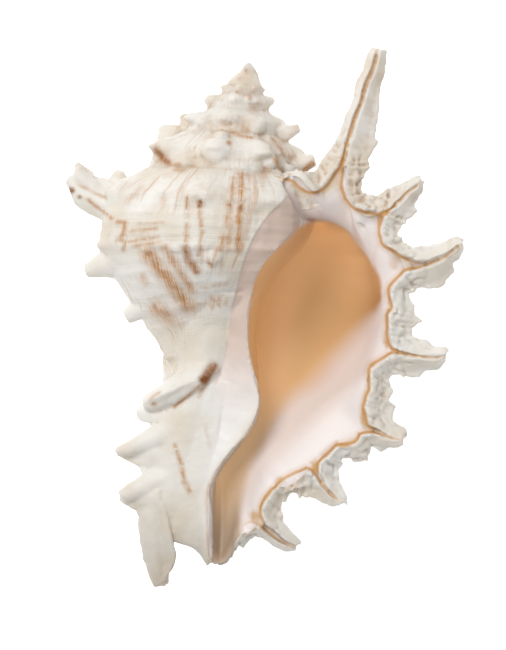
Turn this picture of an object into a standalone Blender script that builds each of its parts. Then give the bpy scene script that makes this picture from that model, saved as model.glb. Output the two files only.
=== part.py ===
"""Spiny sea snail shell, one closed solid, lying on its back with the mouth up.

The shell is set out in its own axis frame. A place is (along, out, height): millimetres
down the coiling axis from the apex, millimetres out from the axis towards the lip, and
millimetres above the plane that holds the axis. The coil is a logarithmic spiral, turned
by an angle that is 0 at the lip side, 90 degrees on the mouth side and grows with age.
"""

import math

import bmesh
import bpy
import numpy as np
from mathutils import Vector

# Driving dimensions, in millimetres and degrees
MM = 0.001
AXIS_LEAN = 10.0  # the axis leans this far from the Y direction
APEX = (-4.8, 84.2)  # place of the apex in X and Y
AXIS_HEIGHT = 47.0  # axis above the surface that the shell lies on
TURN_ALONG = 1.54  # growth along the axis in one turn
TURN_OUT = 1.50  # growth away from the axis in one turn
LIP_ANGLE = 15.0  # the coil ends here
WHORLS = 7
WALL = 2.8
TUBE_JOIN_ANGLE = -70.0  # where the flared mouth becomes the plain spiral tube
TUBE_END_ANGLE = -470.0  # how far back the hollow is cut
VOXEL = 1.0
TRIANGLES = 9300
GROOVE_DEPTH = 0.8  # fold down the front of each lip spine, as a share of its thickness
GROOVE_WIDTH = 0.28  # as a share of its half width

SHELL_COLOUR = (0.80, 0.76, 0.70, 1.0)
SHELL_ROUGHNESS = 0.45

# Outer profile of the last whorl at angle 0: (along, out)
WHORL_PROFILE = [
    (40.0, 0.0), (44.5, 20.0), (49.0, 29.5), (55.0, 36.5), (62.0, 42.3), (70.0, 45.2),
    (77.0, 46.0), (86.0, 44.0), (94.0, 39.5), (100.0, 35.0), (107.0, 28.0), (115.0, 20.0),
    (123.0, 13.0), (131.0, 9.0), (140.0, 5.0), (148.0, 0.0),
]

# Inside of the tube at angle 0, outer wall from the suture to the canal: (along, out)
TUBE_OUTER = [
    (51.5, 31.5), (56.5, 35.0), (63.0, 39.3), (70.0, 42.2), (77.0, 43.0), (86.0, 41.0),
    (94.0, 36.5), (101.0, 30.5), (108.0, 23.5), (115.0, 16.5), (120.0, 12.0),
]
# and its inner wall from the canal back to the suture
TUBE_INNER = [
    (120.0, 12.0), (116.0, 8.5), (106.0, 7.8), (96.0, 8.0), (87.0, 10.0), (79.0, 14.5),
    (72.0, 20.5), (65.0, 26.5), (58.0, 30.8), (51.5, 31.5),
]

# The mouth: (along, out, height) of the lip edge, then (along, out) of the throat behind it
LIP_STATIONS = [
    ((37.5, 17.8, 19.5), (47.5, 27.5)),
    ((34.5, 22.0, 18.5), (46.8, 31.5)),
    ((38.5, 28.5, 16.5), (46.8, 35.5)),
    ((34.5, 34.0, 14.5), (47.5, 39.5)),
    ((28.0, 37.8, 13.0), (49.0, 43.0)),
    ((37.0, 39.8, 13.0), (51.0, 46.0)),
    ((43.5, 46.5, 12.5), (54.3, 48.8)),
    ((42.5, 52.5, 12.5), (56.5, 51.0)),
    ((50.5, 54.5, 12.5), (60.0, 53.0)),
    ((58.0, 62.5, 12.5), (65.1, 55.1)),
    ((66.8, 59.5, 12.5), (71.0, 56.6)),
    ((76.5, 60.3, 12.5), (79.7, 57.3)),
    ((86.0, 63.0, 12.0), (87.0, 57.0)),
    ((95.0, 57.5, 11.5), (93.6, 55.0)),
    ((105.5, 56.3, 11.0), (101.0, 51.0)),
    ((114.0, 58.5, 10.5), (107.0, 46.5)),
    ((120.0, 51.0, 10.0), (113.0, 41.5)),
    ((128.4, 43.8, 9.5), (121.0, 35.5)),
    ((136.0, 38.0, 9.0), (127.0, 31.0)),
    ((138.0, 31.5, 9.0), (132.0, 28.0)),
    ((146.5, 28.8, 8.5), (138.0, 25.5)),
    ((152.0, 28.5, 8.0), (144.0, 23.5)),
    ((157.0, 23.0, 7.5), (151.0, 21.3)),
    ((164.0, 21.3, 6.5), (159.0, 19.8)),
]
CANAL_END = ((168.0, 19.0, 6.0), (163.0, 18.4))
COLUMELLA_STATIONS = [
    ((166.0, 16.6, 7.0), (160.0, 17.0)),
    ((151.8, 14.4, 8.5), (150.0, 15.8)),
    ((142.0, 12.2, 9.5), (141.0, 14.0)),
    ((134.5, 13.8, 10.0), (133.5, 15.5)),
    ((127.5, 17.5, 11.0), (126.8, 18.6)),
    ((120.1, 21.3, 12.0), (119.8, 21.8)),
    ((113.0, 23.0, 12.5), (113.0, 23.2)),
    ((106.0, 22.0, 12.5), (106.0, 22.2)),
    ((97.0, 18.0, 12.5), (97.0, 18.4)),
    ((88.5, 15.3, 13.5), (88.5, 15.8)),
    ((80.8, 13.9, 15.5), (80.8, 14.6)),
    ((72.2, 14.2, 19.0), (72.2, 15.3)),
    ((62.5, 15.5, 25.3), (63.0, 18.2)),
    ((54.5, 16.5, 28.0), (56.0, 22.5)),
    ((47.5, 16.0, 27.3), (51.0, 25.5)),
    ((42.0, 16.0, 24.5), (48.5, 26.5)),
]
THROAT_DROP_LIP = 4.5  # the throat lies this far below the lip edge
THROAT_DROP_COLUMELLA = 2.0
CANAL_START = 112.0  # beyond this the floor slopes along the canal, so the wall is thicker
CANAL_EASE = 22.0
CANAL_EXTRA_WALL = 3.6
THICKEN_SECTIONS = 3
BLEND_STEPS = 9  # sections between the throat and the plain tube
TUBE_STEP = 14.0  # degrees between sections of the plain tube
CUT_REACH = 40.0  # how far the hollow's cutter runs out of the mouth
CUT_FLARE = 1.03  # and how much wider it ends
EDGE_SET_BACK = 1.5  # degrees that the outer rim of the lip lies behind its edge

# Glaze on the inner lip: (along, out, height, half width, half thickness) of its middle
CALLUS = [
    (38.0, 17.5, 18.6, 2.5, 1.2), (47.0, 14.5, 27.0, 3.0, 1.3), (55.0, 13.5, 28.4, 3.6, 1.3),
    (63.0, 12.8, 25.6, 3.6, 1.4), (73.0, 11.8, 18.4, 3.4, 1.6), (83.0, 11.5, 13.6, 3.6, 2.2),
    (93.0, 12.3, 11.6, 4.6, 2.8), (103.0, 14.5, 10.8, 6.8, 3.2), (113.0, 15.5, 10.4, 7.5, 3.2),
    (122.0, 13.5, 10.4, 7.6, 3.2), (131.0, 9.0, 9.2, 6.5, 3.0), (140.0, 7.5, 8.0, 6.0, 2.8),
    (150.0, 9.0, 7.2, 5.5, 2.6), (158.0, 12.8, 6.2, 4.0, 2.4), (165.0, 15.4, 5.6, 1.8, 1.8),
]

# Old siphonal canals under the tip: (along, out, height, half width, half thickness)
SIPHON_COLUMN = [
    (80.0, 1.5, 1.0, 11.0, 11.0), (92.0, 2.5, 1.0, 11.5, 10.5), (103.0, 3.0, 0.5, 10.0, 10.0),
    (113.0, 1.5, 0.0, 11.0, 10.5),
    (125.0, 0.5, -0.5, 12.2, 10.5), (140.0, 0.5, -0.5, 11.8, 9.0), (151.0, 2.0, 0.0, 10.6, 7.5),
    (158.0, 3.5, 0.5, 8.6, 5.5), (161.0, 4.0, 0.5, 6.0, 4.0),
]

# A spine is its middle line, each point (along, out, height, half width, half thickness)
LIP_SPINES = [
    [(44.0, 32.0, 8.0, 8.5, 6.0), (34.0, 35.5, 10.0, 7.8, 5.2), (22.0, 37.8, 11.0, 6.2, 4.4),
     (8.0, 39.6, 11.5, 4.6, 3.6), (-4.0, 40.6, 11.5, 3.6, 3.0), (-12.6, 41.5, 11.5, 3.0, 2.4)],
    [(55.0, 46.5, 6.0, 6.5, 5.5), (46.5, 50.0, 8.5, 5.6, 4.6), (39.5, 54.5, 10.0, 4.4, 3.6),
     (33.5, 59.0, 11.5, 3.2, 2.8), (28.3, 62.6, 12.5, 2.0, 1.8)],
    [(62.0, 53.0, 5.0, 7.0, 6.0), (57.0, 60.0, 8.0, 5.6, 4.8), (54.0, 67.0, 9.5, 4.8, 3.8),
     (50.5, 74.0, 11.0, 4.2, 3.0), (46.5, 80.0, 12.5, 2.4, 2.0)],
    [(84.0, 53.0, 5.0, 7.0, 6.0), (85.2, 60.5, 8.0, 5.8, 4.6), (86.6, 68.0, 9.5, 4.2, 3.6),
     (85.4, 75.5, 11.0, 3.0, 2.6), (83.4, 81.4, 12.0, 1.8, 1.8)],
    [(105.0, 49.0, 4.0, 7.5, 6.0), (109.5, 57.0, 7.0, 6.2, 4.6), (112.0, 65.0, 8.5, 4.4, 3.4),
     (113.5, 72.4, 9.5, 2.2, 2.0)],
    [(121.0, 38.0, 3.0, 7.0, 6.0), (127.0, 43.0, 6.0, 6.2, 4.6), (133.5, 50.0, 7.5, 4.6, 3.4),
     (138.0, 56.6, 8.5, 2.2, 2.0)],
    [(138.0, 25.5, 2.0, 6.0, 5.0), (144.5, 29.0, 5.0, 5.6, 4.2), (150.5, 35.0, 6.0, 4.2, 3.2),
     (155.4, 43.4, 6.5, 2.2, 2.0)],
]
# Side lobes and frills of the lip, the same way
LIP_LOBES = [
    [(52.0, 51.0, 4.0, 4.2, 3.6), (45.0, 57.5, 6.0, 3.2, 2.6), (39.5, 63.0, 7.0, 1.8, 1.6)],
    [(63.0, 60.0, 4.0, 4.6, 4.0), (60.0, 69.5, 6.0, 3.4, 2.8), (56.8, 78.6, 7.0, 1.8, 1.6)],
    [(67.5, 59.0, 3.0, 4.6, 4.0), (65.5, 68.0, 4.5, 3.6, 2.8), (62.8, 75.6, 5.0, 1.8, 1.6)],
    [(76.0, 57.5, 3.5, 4.0, 3.8), (76.5, 65.0, 5.0, 2.8, 2.6), (75.0, 71.2, 5.5, 1.6, 1.5)],
    [(70.5, 57.5, 4.0, 3.6, 3.6), (70.0, 64.0, 5.0, 2.6, 2.4), (69.0, 68.6, 5.5, 1.6, 1.5)],
    [(90.0, 57.0, 3.0, 4.6, 4.0), (91.0, 66.5, 5.0, 3.2, 2.8), (88.6, 77.4, 6.0, 1.8, 1.6)],
    [(92.5, 56.0, 2.5, 4.4, 3.8), (93.5, 65.0, 4.0, 3.0, 2.6), (91.6, 71.6, 5.0, 1.7, 1.5)],
    [(99.0, 54.0, 4.0, 4.0, 3.8), (99.5, 61.0, 6.0, 2.8, 2.6), (98.4, 66.6, 7.0, 1.6, 1.5)],
    [(104.0, 54.0, 5.0, 3.8, 3.6), (104.5, 61.0, 7.0, 3.0, 2.6), (103.5, 67.0, 8.0, 1.6, 1.5)],
    [(113.5, 50.0, 3.0, 4.4, 4.0), (117.0, 58.0, 5.0, 3.2, 2.8), (119.0, 66.5, 6.0, 1.7, 1.5)],
    [(117.5, 45.5, 3.0, 4.0, 3.8), (122.0, 52.5, 5.0, 3.0, 2.6), (124.5, 57.6, 6.0, 1.6, 1.5)],
    [(122.0, 40.5, 4.0, 4.0, 3.6), (127.0, 47.5, 6.0, 2.8, 2.6), (129.0, 52.5, 7.0, 1.6, 1.5)],
    [(131.0, 33.0, 3.0, 4.0, 3.6), (136.5, 38.5, 5.0, 3.0, 2.6), (139.5, 44.0, 6.0, 1.6, 1.5)],
    [(135.0, 29.0, 3.0, 3.6, 3.4), (141.0, 33.5, 5.0, 2.8, 2.4), (144.5, 37.5, 6.0, 1.6, 1.5)],
    [(148.0, 24.0, 3.0, 3.4, 3.2), (154.0, 27.0, 4.5, 2.4, 2.2), (158.0, 29.6, 5.0, 1.5, 1.4)],
    [(155.0, 20.5, 3.0, 3.0, 2.8), (160.0, 23.0, 4.5, 2.2, 2.0), (163.5, 25.0, 5.0, 1.4, 1.4)],
]
# Spines of the varix on the far side of the mouth, and of the old canals
LEFT_SPINES = [
    [(57.0, -25.0, 3.0, 10.0, 8.0), (54.5, -36.0, 4.0, 8.0, 6.0), (53.0, -44.0, 5.0, 6.2, 4.5),
     (51.8, -51.0, 5.5, 5.2, 3.6), (51.6, -52.4, 5.5, 4.4, 3.0)],
    [(52.0, -42.0, 4.0, 4.0, 3.2), (47.5, -48.0, 5.5, 2.6, 2.4), (43.8, -50.4, 6.0, 1.5, 1.5)],
    [(69.0, -22.0, 4.0, 8.0, 7.0), (72.5, -30.0, 4.5, 5.6, 5.0), (75.8, -36.5, 4.5, 3.6, 3.2),
     (77.4, -41.0, 4.5, 1.9, 1.8)],
    [(82.0, -14.0, 4.0, 6.0, 6.0), (86.0, -20.5, 4.5, 4.2, 4.0), (90.2, -26.0, 4.5, 2.4, 2.4)],
    [(101.0, 6.0, 7.5, 3.2, 3.2), (105.5, 1.5, 9.5, 4.2, 3.6), (111.0, -5.0, 9.0, 4.4, 3.8),
     (115.6, -11.0, 7.0, 3.6, 3.2), (117.7, -14.2, 5.5, 2.4, 2.4)],
    [(117.0, -6.0, 2.0, 3.6, 3.4), (119.5, -12.0, 1.5, 2.8, 2.6), (120.9, -16.0, 1.0, 1.9, 1.9)],
    [(125.0, -2.0, 4.5, 6.0, 4.6), (129.0, -10.0, 5.0, 4.2, 3.4), (132.8, -16.5, 5.5, 2.8, 2.4),
     (135.1, -21.2, 6.0, 1.4, 1.4)],
    [(139.0, -1.0, 4.0, 6.0, 4.6), (143.5, -8.5, 4.5, 4.0, 3.2), (148.5, -15.5, 5.0, 2.8, 2.4),
     (149.8, -17.0, 5.0, 2.2, 2.0)],
    [(146.0, -3.0, 1.5, 7.0, 5.6), (156.0, -4.5, 2.0, 5.6, 4.8), (165.0, -2.6, 3.0, 4.4, 3.8),
     (172.0, -0.4, 4.0, 3.6, 3.0), (176.4, 1.4, 4.5, 2.6, 2.2)],
]
# Thin plates left on the early whorls behind the spire
SPIRE_FINS = [
    [(36.0, -20.0, -4.0, 5.0, 2.2), (29.0, -22.0, -5.0, 3.8, 1.8), (25.2, -23.0, -6.0, 3.2, 1.4)],
    [(28.0, -14.0, -4.0, 4.0, 2.0), (22.5, -16.6, -5.0, 2.8, 1.6), (20.2, -17.4, -6.0, 2.3, 1.3)],
]
# Spines and knobs of the back. The ones that reach the ground carry the shell.
BACK_SPINES = [
    [(61.0, -9.0, -33.0, 9.0, 9.0), (58.5, -11.0, -41.0, 6.0, 5.6), (56.5, -12.5, -47.6, 3.4, 3.4)],
    [(72.0, -10.0, -34.0, 6.0, 6.0), (74.5, -11.5, -41.0, 3.8, 3.6), (77.0, -12.5, -45.4, 1.9, 1.9)],
    [(85.0, -8.0, -27.0, 8.0, 8.0), (89.0, -9.0, -37.0, 5.2, 4.8), (94.5, -10.0, -47.6, 2.6, 2.6)],
    [(102.0, -5.0, -15.0, 7.0, 7.0), (108.0, -6.5, -25.0, 4.2, 4.0), (113.0, -7.5, -32.5, 2.0, 2.0)],
    [(116.0, -3.0, -9.0, 6.0, 6.0), (122.5, -4.5, -18.0, 3.8, 3.6), (127.0, -5.5, -24.0, 1.8, 1.8)],
    [(132.0, -1.0, -6.0, 5.0, 5.0), (137.5, -2.0, -13.0, 3.4, 3.0), (141.5, -3.0, -18.5, 1.7, 1.7)],
    [(59.0, 25.0, -31.0, 9.0, 8.0), (57.5, 28.5, -40.0, 5.6, 5.0), (56.0, 30.5, -47.6, 2.8, 2.8)],
    [(80.0, 25.0, -31.0, 10.0, 9.0), (81.0, 27.5, -40.0, 6.4, 6.0), (82.0, 29.0, -47.6, 3.0, 3.0)],
    [(98.0, 23.0, -23.0, 7.0, 6.0), (100.5, 25.5, -29.5, 4.2, 4.0), (102.0, 27.0, -34.5, 2.2, 2.2)],
    [(58.0, -28.0, -21.0, 7.0, 7.0), (56.5, -32.5, -26.0, 4.0, 4.0), (55.5, -35.5, -29.5, 2.2, 2.2)],
    [(76.0, -24.0, -17.0, 5.5, 5.5), (77.5, -28.0, -20.5, 3.2, 3.2), (78.5, -30.5, -23.0, 1.8, 1.8)],
]

# Knobs on each whorl: angle round the axis, then height in the scale of the last whorl
SHOULDER_ALONG = 61.0
KNOBS = [(5.0, 20.0), (63.0, 8.0), (105.0, 9.0), (165.0, 10.0), (212.0, 7.0), (260.0, 9.0), (312.0, 7.0)]
KNOB_HALF_ANGLE = 10.0
KNOB_HALF_ALONG = 5.5
LOW_ROW_ALONG = 86.0
LOW_ROW_HEIGHT = 1.6
LAST_WHORL_KNOB = 3.0  # knobs of the last whorl are no higher than this
VARIX_ANGLES = [-105.0, -195.0, -310.0, -425.0, -540.0, -650.0, -760.0, -870.0]
VARIX_HEIGHT = 4.0
VARIX_HALF_ANGLE = 9.0


def remove_startup_objects():
    """Empty the scene."""
    for item in list(bpy.data.objects):
        bpy.data.objects.remove(item, do_unlink=True)


def place(along, out, height):
    """Turn a place in the shell's axis frame into a point in metres."""
    lean = math.radians(AXIS_LEAN)
    x = APEX[0] - along * math.sin(lean) + out * math.cos(lean)
    y = APEX[1] - along * math.cos(lean) - out * math.sin(lean)
    return Vector((x, y, height + AXIS_HEIGHT)) * MM


def catmull(a, b, c, d, t):
    """Point between b and c on the smooth curve through four points."""
    return 0.5 * (2 * b + (c - a) * t + (2 * a - 5 * b + 4 * c - d) * t**2
                  + (3 * b - a - 3 * c + d) * t**3)


def smooth_through(points, steps, closed=False):
    """Smooth curve through the points, with the given steps between each pair."""
    points = [np.array(p, dtype=float) for p in points]
    count = len(points)
    result = []
    for i in range(count if closed else count - 1):
        if closed:
            around = [points[(i + k) % count] for k in (-1, 0, 1, 2)]
        else:
            around = [points[min(max(i + k, 0), count - 1)] for k in (-1, 0, 1, 2)]
        result += [catmull(*around, step / steps) for step in range(steps)]
    if not closed:
        result.append(points[-1])
    return np.array(result)


def resample(points, fractions):
    """Points at the given fractions of a line's length."""
    lengths = np.concatenate([[0.0], np.cumsum(np.linalg.norm(np.diff(points, axis=0), axis=1))])
    wanted = np.array(fractions) * lengths[-1]
    return np.stack([np.interp(wanted, lengths, points[:, k]) for k in range(points.shape[1])], axis=1)


def length_fractions(points):
    """How far along the line each of its points lies, from 0 to 1."""
    lengths = np.concatenate([[0.0], np.cumsum(np.linalg.norm(np.diff(points, axis=0), axis=1))])
    return lengths / lengths[-1]


def add_loft(mesh, rings):
    """Add a closed form through rings of points, with a cap on each end."""
    loops = [[mesh.verts.new(point) for point in ring] for ring in rings]
    count = len(loops[0])
    for low, high in zip(loops[:-1], loops[1:]):
        for k in range(count):
            after = (k + 1) % count
            mesh.faces.new((low[k], low[after], high[after], high[k]))
    mesh.faces.new(list(reversed(loops[0])))
    mesh.faces.new(loops[-1])


def add_body(mesh):
    """Add the coiled body: its radius round the axis as a height over angle and length."""
    angles = np.arange(LIP_ANGLE - 358.0, LIP_ANGLE + 0.1, 2.0)
    alongs = np.concatenate([np.linspace(0.6, 40.0, 70), np.linspace(40.9, 147.0, 110)])
    profile = smooth_through(WHORL_PROFILE, 8)
    angle_grid, along_grid = np.meshgrid(angles, alongs)
    radius = np.full(angle_grid.shape, 0.3)
    for whorl in range(WHORLS):
        turned = angle_grid - 360.0 * whorl
        scale_out = TURN_OUT ** (turned / 360.0)
        unit_along = along_grid / TURN_ALONG ** (turned / 360.0)
        plain = np.interp(unit_along, profile[:, 0], profile[:, 1], left=0.0, right=0.0)
        raised = plain + ornament(turned, unit_along) * (plain > 10.0)
        radius = np.maximum(radius, scale_out * raised)
    rings = []
    for row, along in enumerate(alongs):
        ring = []
        for column, angle in enumerate(np.radians(angles)):
            out = radius[row, column]
            ring.append(place(along, out * math.cos(angle), out * math.sin(angle)))
        rings.append(ring)
    add_loft(mesh, rings)


def ornament(turned, unit_along):
    """Height of varices, shoulder knobs and the low row of knobs, in last-whorl scale."""
    height = np.zeros(turned.shape)
    for angle in VARIX_ANGLES:
        across = np.exp(-(((turned - angle) / VARIX_HALF_ANGLE) ** 2))
        height += VARIX_HEIGHT * across
    for angle, knob in KNOBS:
        off = (turned - angle + 180.0) % 360.0 - 180.0
        across = np.exp(-((off / KNOB_HALF_ANGLE) ** 2))
        shoulder = np.exp(-(((unit_along - SHOULDER_ALONG) / KNOB_HALF_ALONG) ** 2))
        low_row = np.exp(-(((unit_along - LOW_ROW_ALONG) / KNOB_HALF_ALONG) ** 2))
        size = np.where(turned < LIP_ANGLE - 360.0, knob, min(knob, LAST_WHORL_KNOB))
        height += across * (size * shoulder + LOW_ROW_HEIGHT * low_row)
    return height


def tapered_form(mesh, line, lumps=0.0, groove=0.0, sides=20):
    """Add a form with oval sections along a line of (along, out, height, width, thickness).

    A groove is a share of the thickness, folded in along the side towards the viewer."""
    stations = smooth_through(line, 5)
    middles = [place(*station[:3]) for station in stations]
    rings = []
    for i, station in enumerate(stations):
        ahead = middles[min(i + 1, len(middles) - 1)] - middles[max(i - 1, 0)]
        ahead.normalize()
        side = ahead.cross(Vector((0, 0, 1))).normalized() if abs(ahead.z) < 0.95 else Vector((1, 0, 0))
        face = side.cross(ahead).normalized()
        swell = 1.0 + lumps * math.sin(2.1 * i) * math.sin(math.pi * i / len(stations))
        ring = []
        for k in range(sides):
            turn = 2 * math.pi * k / sides
            across = side * math.cos(turn) * station[3] * swell * MM
            fold = 1.0 - groove * math.exp(-((math.cos(turn) / GROOVE_WIDTH) ** 2)) * (math.sin(turn) > 0)
            ring.append(middles[i] + across + face * math.sin(turn) * fold * station[4] * MM)
        rings.append(ring)
    add_loft(mesh, rings)


def mouth_contours():
    """Lip edge, throat and tube section of the mouth as matching closed rows of points.

    Each point is (angle in degrees, along, distance from the axis)."""
    stations = LIP_STATIONS + [CANAL_END] + COLUMELLA_STATIONS
    corner = len(LIP_STATIONS)
    rim, throat = [], []
    for index, ((along, out, height), (back_along, back_out)) in enumerate(stations):
        drop = THROAT_DROP_LIP if index <= corner else THROAT_DROP_COLUMELLA
        rim.append(cylindrical(along, out, height))
        throat.append(cylindrical(back_along, back_out, height - drop))
    throat_flat = np.array([(along, out) for _, (along, out) in stations])
    outer_parts = length_fractions(throat_flat[: corner + 1])
    inner_parts = length_fractions(np.vstack([throat_flat[corner:], throat_flat[:1]]))
    outer = resample(smooth_through(TUBE_OUTER, 6), outer_parts)
    inner = resample(smooth_through(TUBE_INNER, 6), inner_parts[1:-1])
    tube = np.array([(0.0, along, out) for along, out in np.vstack([outer, inner])])
    rows = [smooth_through(row, 3, closed=True) for row in (rim, throat, tube)]
    return rows


def cylindrical(along, out, height):
    """The same place as (angle in degrees, along, distance from the axis)."""
    return np.array((math.degrees(math.atan2(height, out)), along, math.hypot(out, height)))


def from_cylindrical(row):
    """Points in metres of a row of (angle, along, distance)."""
    turns = np.radians(row[:, 0])
    return [place(along, distance * math.cos(turn), distance * math.sin(turn))
            for turn, (_, along, distance) in zip(turns, row)]


def spiral_scaled(row, angle):
    """A section of the plain tube carried back along the spiral to an angle."""
    moved = row.copy()
    moved[:, 0] = angle
    moved[:, 1] *= TURN_ALONG ** (angle / 360.0)
    moved[:, 2] *= TURN_OUT ** (angle / 360.0)
    return moved


def grown(row, thickness):
    """A closed row moved outwards in the plane of along and distance."""
    flat = row[:, 1:]
    ahead = np.roll(flat, -1, axis=0) - np.roll(flat, 1, axis=0)
    normal = np.stack([ahead[:, 1], -ahead[:, 0]], axis=1)
    normal /= np.linalg.norm(normal, axis=1)[:, None] + 1e-9
    signed_area = np.sum(flat[:, 0] * np.roll(flat[:, 1], -1) - flat[:, 1] * np.roll(flat[:, 0], -1))
    if signed_area < 0:
        normal = -normal
    moved = row.copy()
    moved[:, 1:] += normal * np.reshape(thickness, (-1, 1))
    return moved


def mouth_sections(rim, throat, tube):
    """Sections from the lip edge back to the plain tube, blended round the axis."""
    joined = spiral_scaled(tube, TUBE_JOIN_ANGLE)
    between = 0.55 * rim + 0.45 * throat
    between[:, 0] = 0.75 * rim[:, 0] + 0.25 * throat[:, 0]
    sections = [rim, between, throat]
    for step in range(1, BLEND_STEPS + 1):
        part = step / BLEND_STEPS
        eased = part * (2.0 - part)
        row = throat * (1 - eased) + joined * eased
        row[:, 0] = throat[:, 0] * (1 - part) + TUBE_JOIN_ANGLE * part
        sections.append(row)
    return sections


def add_mouth_wall(mesh, rim, throat, tube):
    """Add the solid horn that the mouth is cut from, one wall thickness larger."""
    rings = []
    for index, row in enumerate(mouth_sections(rim, throat, tube)):
        in_canal = np.clip((row[:, 1] - CANAL_START) / CANAL_EASE, 0.0, 1.0)
        behind_edge = min(index / THICKEN_SECTIONS, 1.0)
        rings.append(grown(row, WALL + CANAL_EXTRA_WALL * in_canal * behind_edge))
    rings[0][:, 0] -= EDGE_SET_BACK
    add_loft(mesh, [from_cylindrical(row) for row in rings])


def hollow_cutter(rim, throat, tube):
    """The hollow of the shell, from in front of the mouth back along the spiral."""
    mesh = bmesh.new()
    sections = [from_cylindrical(row) for row in mouth_sections(rim, throat, tube)]
    for angle in np.arange(TUBE_JOIN_ANGLE - TUBE_STEP, TUBE_END_ANGLE, -TUBE_STEP):
        sections.append(from_cylindrical(spiral_scaled(tube, angle)))
    middle = sum(sections[0], Vector()) / len(sections[0])
    reach = Vector((0, 0, CUT_REACH * MM))
    front = [middle + (point - middle) * CUT_FLARE + reach for point in sections[0]]
    add_loft(mesh, [front] + sections)
    bmesh.ops.recalc_face_normals(mesh, faces=mesh.faces)
    cutter = new_object("hollow_cutter", mesh, "shell_cutters")
    cutter.hide_render = True
    cutter.display_type = "WIRE"
    return cutter


def new_object(name, mesh, collection_name):
    """Make an object of a bmesh in a named collection."""
    data = bpy.data.meshes.new(name)
    mesh.to_mesh(data)
    mesh.free()
    item = bpy.data.objects.new(name, data)
    collection = bpy.data.collections.get(collection_name)
    if collection is None:
        collection = bpy.data.collections.new(collection_name)
        bpy.context.scene.collection.children.link(collection)
    collection.objects.link(item)
    return item


def apply_modifiers(item):
    """Keep the evaluated mesh of an object as its own mesh."""
    graph = bpy.context.evaluated_depsgraph_get()
    data = bpy.data.meshes.new_from_object(item.evaluated_get(graph))
    item.modifiers.clear()
    item.data = data


def fuse(item, voxel):
    """Fuse overlapping closed forms into one skin."""
    remesh = item.modifiers.new("fuse", "REMESH")
    remesh.mode = "VOXEL"
    remesh.voxel_size = voxel * MM


def cut(item, cutter):
    """Take the cutter's form out of the object."""
    boolean = item.modifiers.new("cut", "BOOLEAN")
    boolean.operation = "DIFFERENCE"
    boolean.object = cutter


def shell_material():
    """Chalky off-white of the outside."""
    material = bpy.data.materials.new("shell_chalk")
    material.use_nodes = True
    surface = material.node_tree.nodes["Principled BSDF"]
    surface.inputs["Base Color"].default_value = SHELL_COLOUR
    surface.inputs["Roughness"].default_value = SHELL_ROUGHNESS
    surface.inputs["Metallic"].default_value = 0.0
    return material


def ground_cutter():
    """A slab whose top is the ground: it wears the carrying tips flat."""
    mesh = bmesh.new()
    bmesh.ops.create_cube(mesh, size=1.0)
    for vertex in mesh.verts:
        vertex.co = Vector((vertex.co.x * 0.4, vertex.co.y * 0.4, (vertex.co.z - 0.5) * 0.05))
    cutter = new_object("ground_cutter", mesh, "shell_cutters")
    cutter.hide_render = True
    cutter.display_type = "WIRE"
    return cutter


def build_shell():
    """Model the shell as one closed solid."""
    mesh = bmesh.new()
    rim, throat, tube = mouth_contours()
    add_body(mesh)
    add_mouth_wall(mesh, rim, throat, tube)
    tapered_form(mesh, CALLUS)
    tapered_form(mesh, SIPHON_COLUMN, sides=24)
    for line in LIP_SPINES:
        tapered_form(mesh, line, lumps=0.05, groove=GROOVE_DEPTH)
    for line in LEFT_SPINES + BACK_SPINES:
        tapered_form(mesh, line, lumps=0.05)
    for line in LIP_LOBES:
        tapered_form(mesh, line, lumps=0.15)
    for line in SPIRE_FINS:
        tapered_form(mesh, line)
    bmesh.ops.recalc_face_normals(mesh, faces=mesh.faces)
    shell = new_object("shell", mesh, "sea_snail_shell")
    shell.data.materials.append(shell_material())
    fuse(shell, VOXEL)
    cut(shell, hollow_cutter(rim, throat, tube))
    apply_modifiers(shell)
    fuse(shell, VOXEL)
    relax = shell.modifiers.new("relax", "SMOOTH")
    relax.factor = 0.5
    relax.iterations = 2
    apply_modifiers(shell)
    shell.data.calc_loop_triangles()
    thin = shell.modifiers.new("thin", "DECIMATE")
    thin.ratio = TRIANGLES / len(shell.data.loop_triangles)
    thin.use_collapse_triangulate = True
    apply_modifiers(shell)
    cut(shell, ground_cutter())
    return shell


remove_startup_objects()
build_shell()
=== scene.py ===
"""Looks of a large spiny sea snail shell that lies on its back with the mouth up.

The skin is laid out again from the shell's own coil, at a finer grain than the frame's
solid: whorls with cords and knobs, the flared mouth with its glaze, grooved lip spines,
frills, varix spines and old canals. It is fused, hollowed, thinned and then painted by
values worked out for each of its points. Lengths are millimetres in the shell's axis
frame: along the coiling axis from the apex, out towards the lip, and height above the
plane that holds the axis.
"""

import logging
import math
from dataclasses import dataclass, field
from enum import Enum

import bmesh
import bpy
import numpy as np
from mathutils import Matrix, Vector, noise
from mathutils.bvhtree import BVHTree


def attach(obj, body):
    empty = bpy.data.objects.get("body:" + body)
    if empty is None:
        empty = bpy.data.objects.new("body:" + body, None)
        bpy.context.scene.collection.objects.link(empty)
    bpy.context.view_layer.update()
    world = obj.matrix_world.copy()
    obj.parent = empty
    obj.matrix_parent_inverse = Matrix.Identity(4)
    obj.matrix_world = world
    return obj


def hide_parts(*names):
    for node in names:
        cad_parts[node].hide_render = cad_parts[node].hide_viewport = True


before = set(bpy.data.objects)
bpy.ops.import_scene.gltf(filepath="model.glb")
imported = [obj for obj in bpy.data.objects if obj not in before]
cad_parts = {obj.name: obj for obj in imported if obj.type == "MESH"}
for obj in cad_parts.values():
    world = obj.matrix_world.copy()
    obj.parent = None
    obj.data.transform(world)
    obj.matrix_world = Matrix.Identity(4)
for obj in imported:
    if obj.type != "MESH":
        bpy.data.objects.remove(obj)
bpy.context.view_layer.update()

LOG = logging.getLogger("shell")
MM = 0.001
Row = np.ndarray


class Side(Enum):
    """Where a group of spines grows."""

    LIP = "lip"
    FAR = "far varix and old canals"
    BACK = "back"
    SPIRE = "spire"


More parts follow.
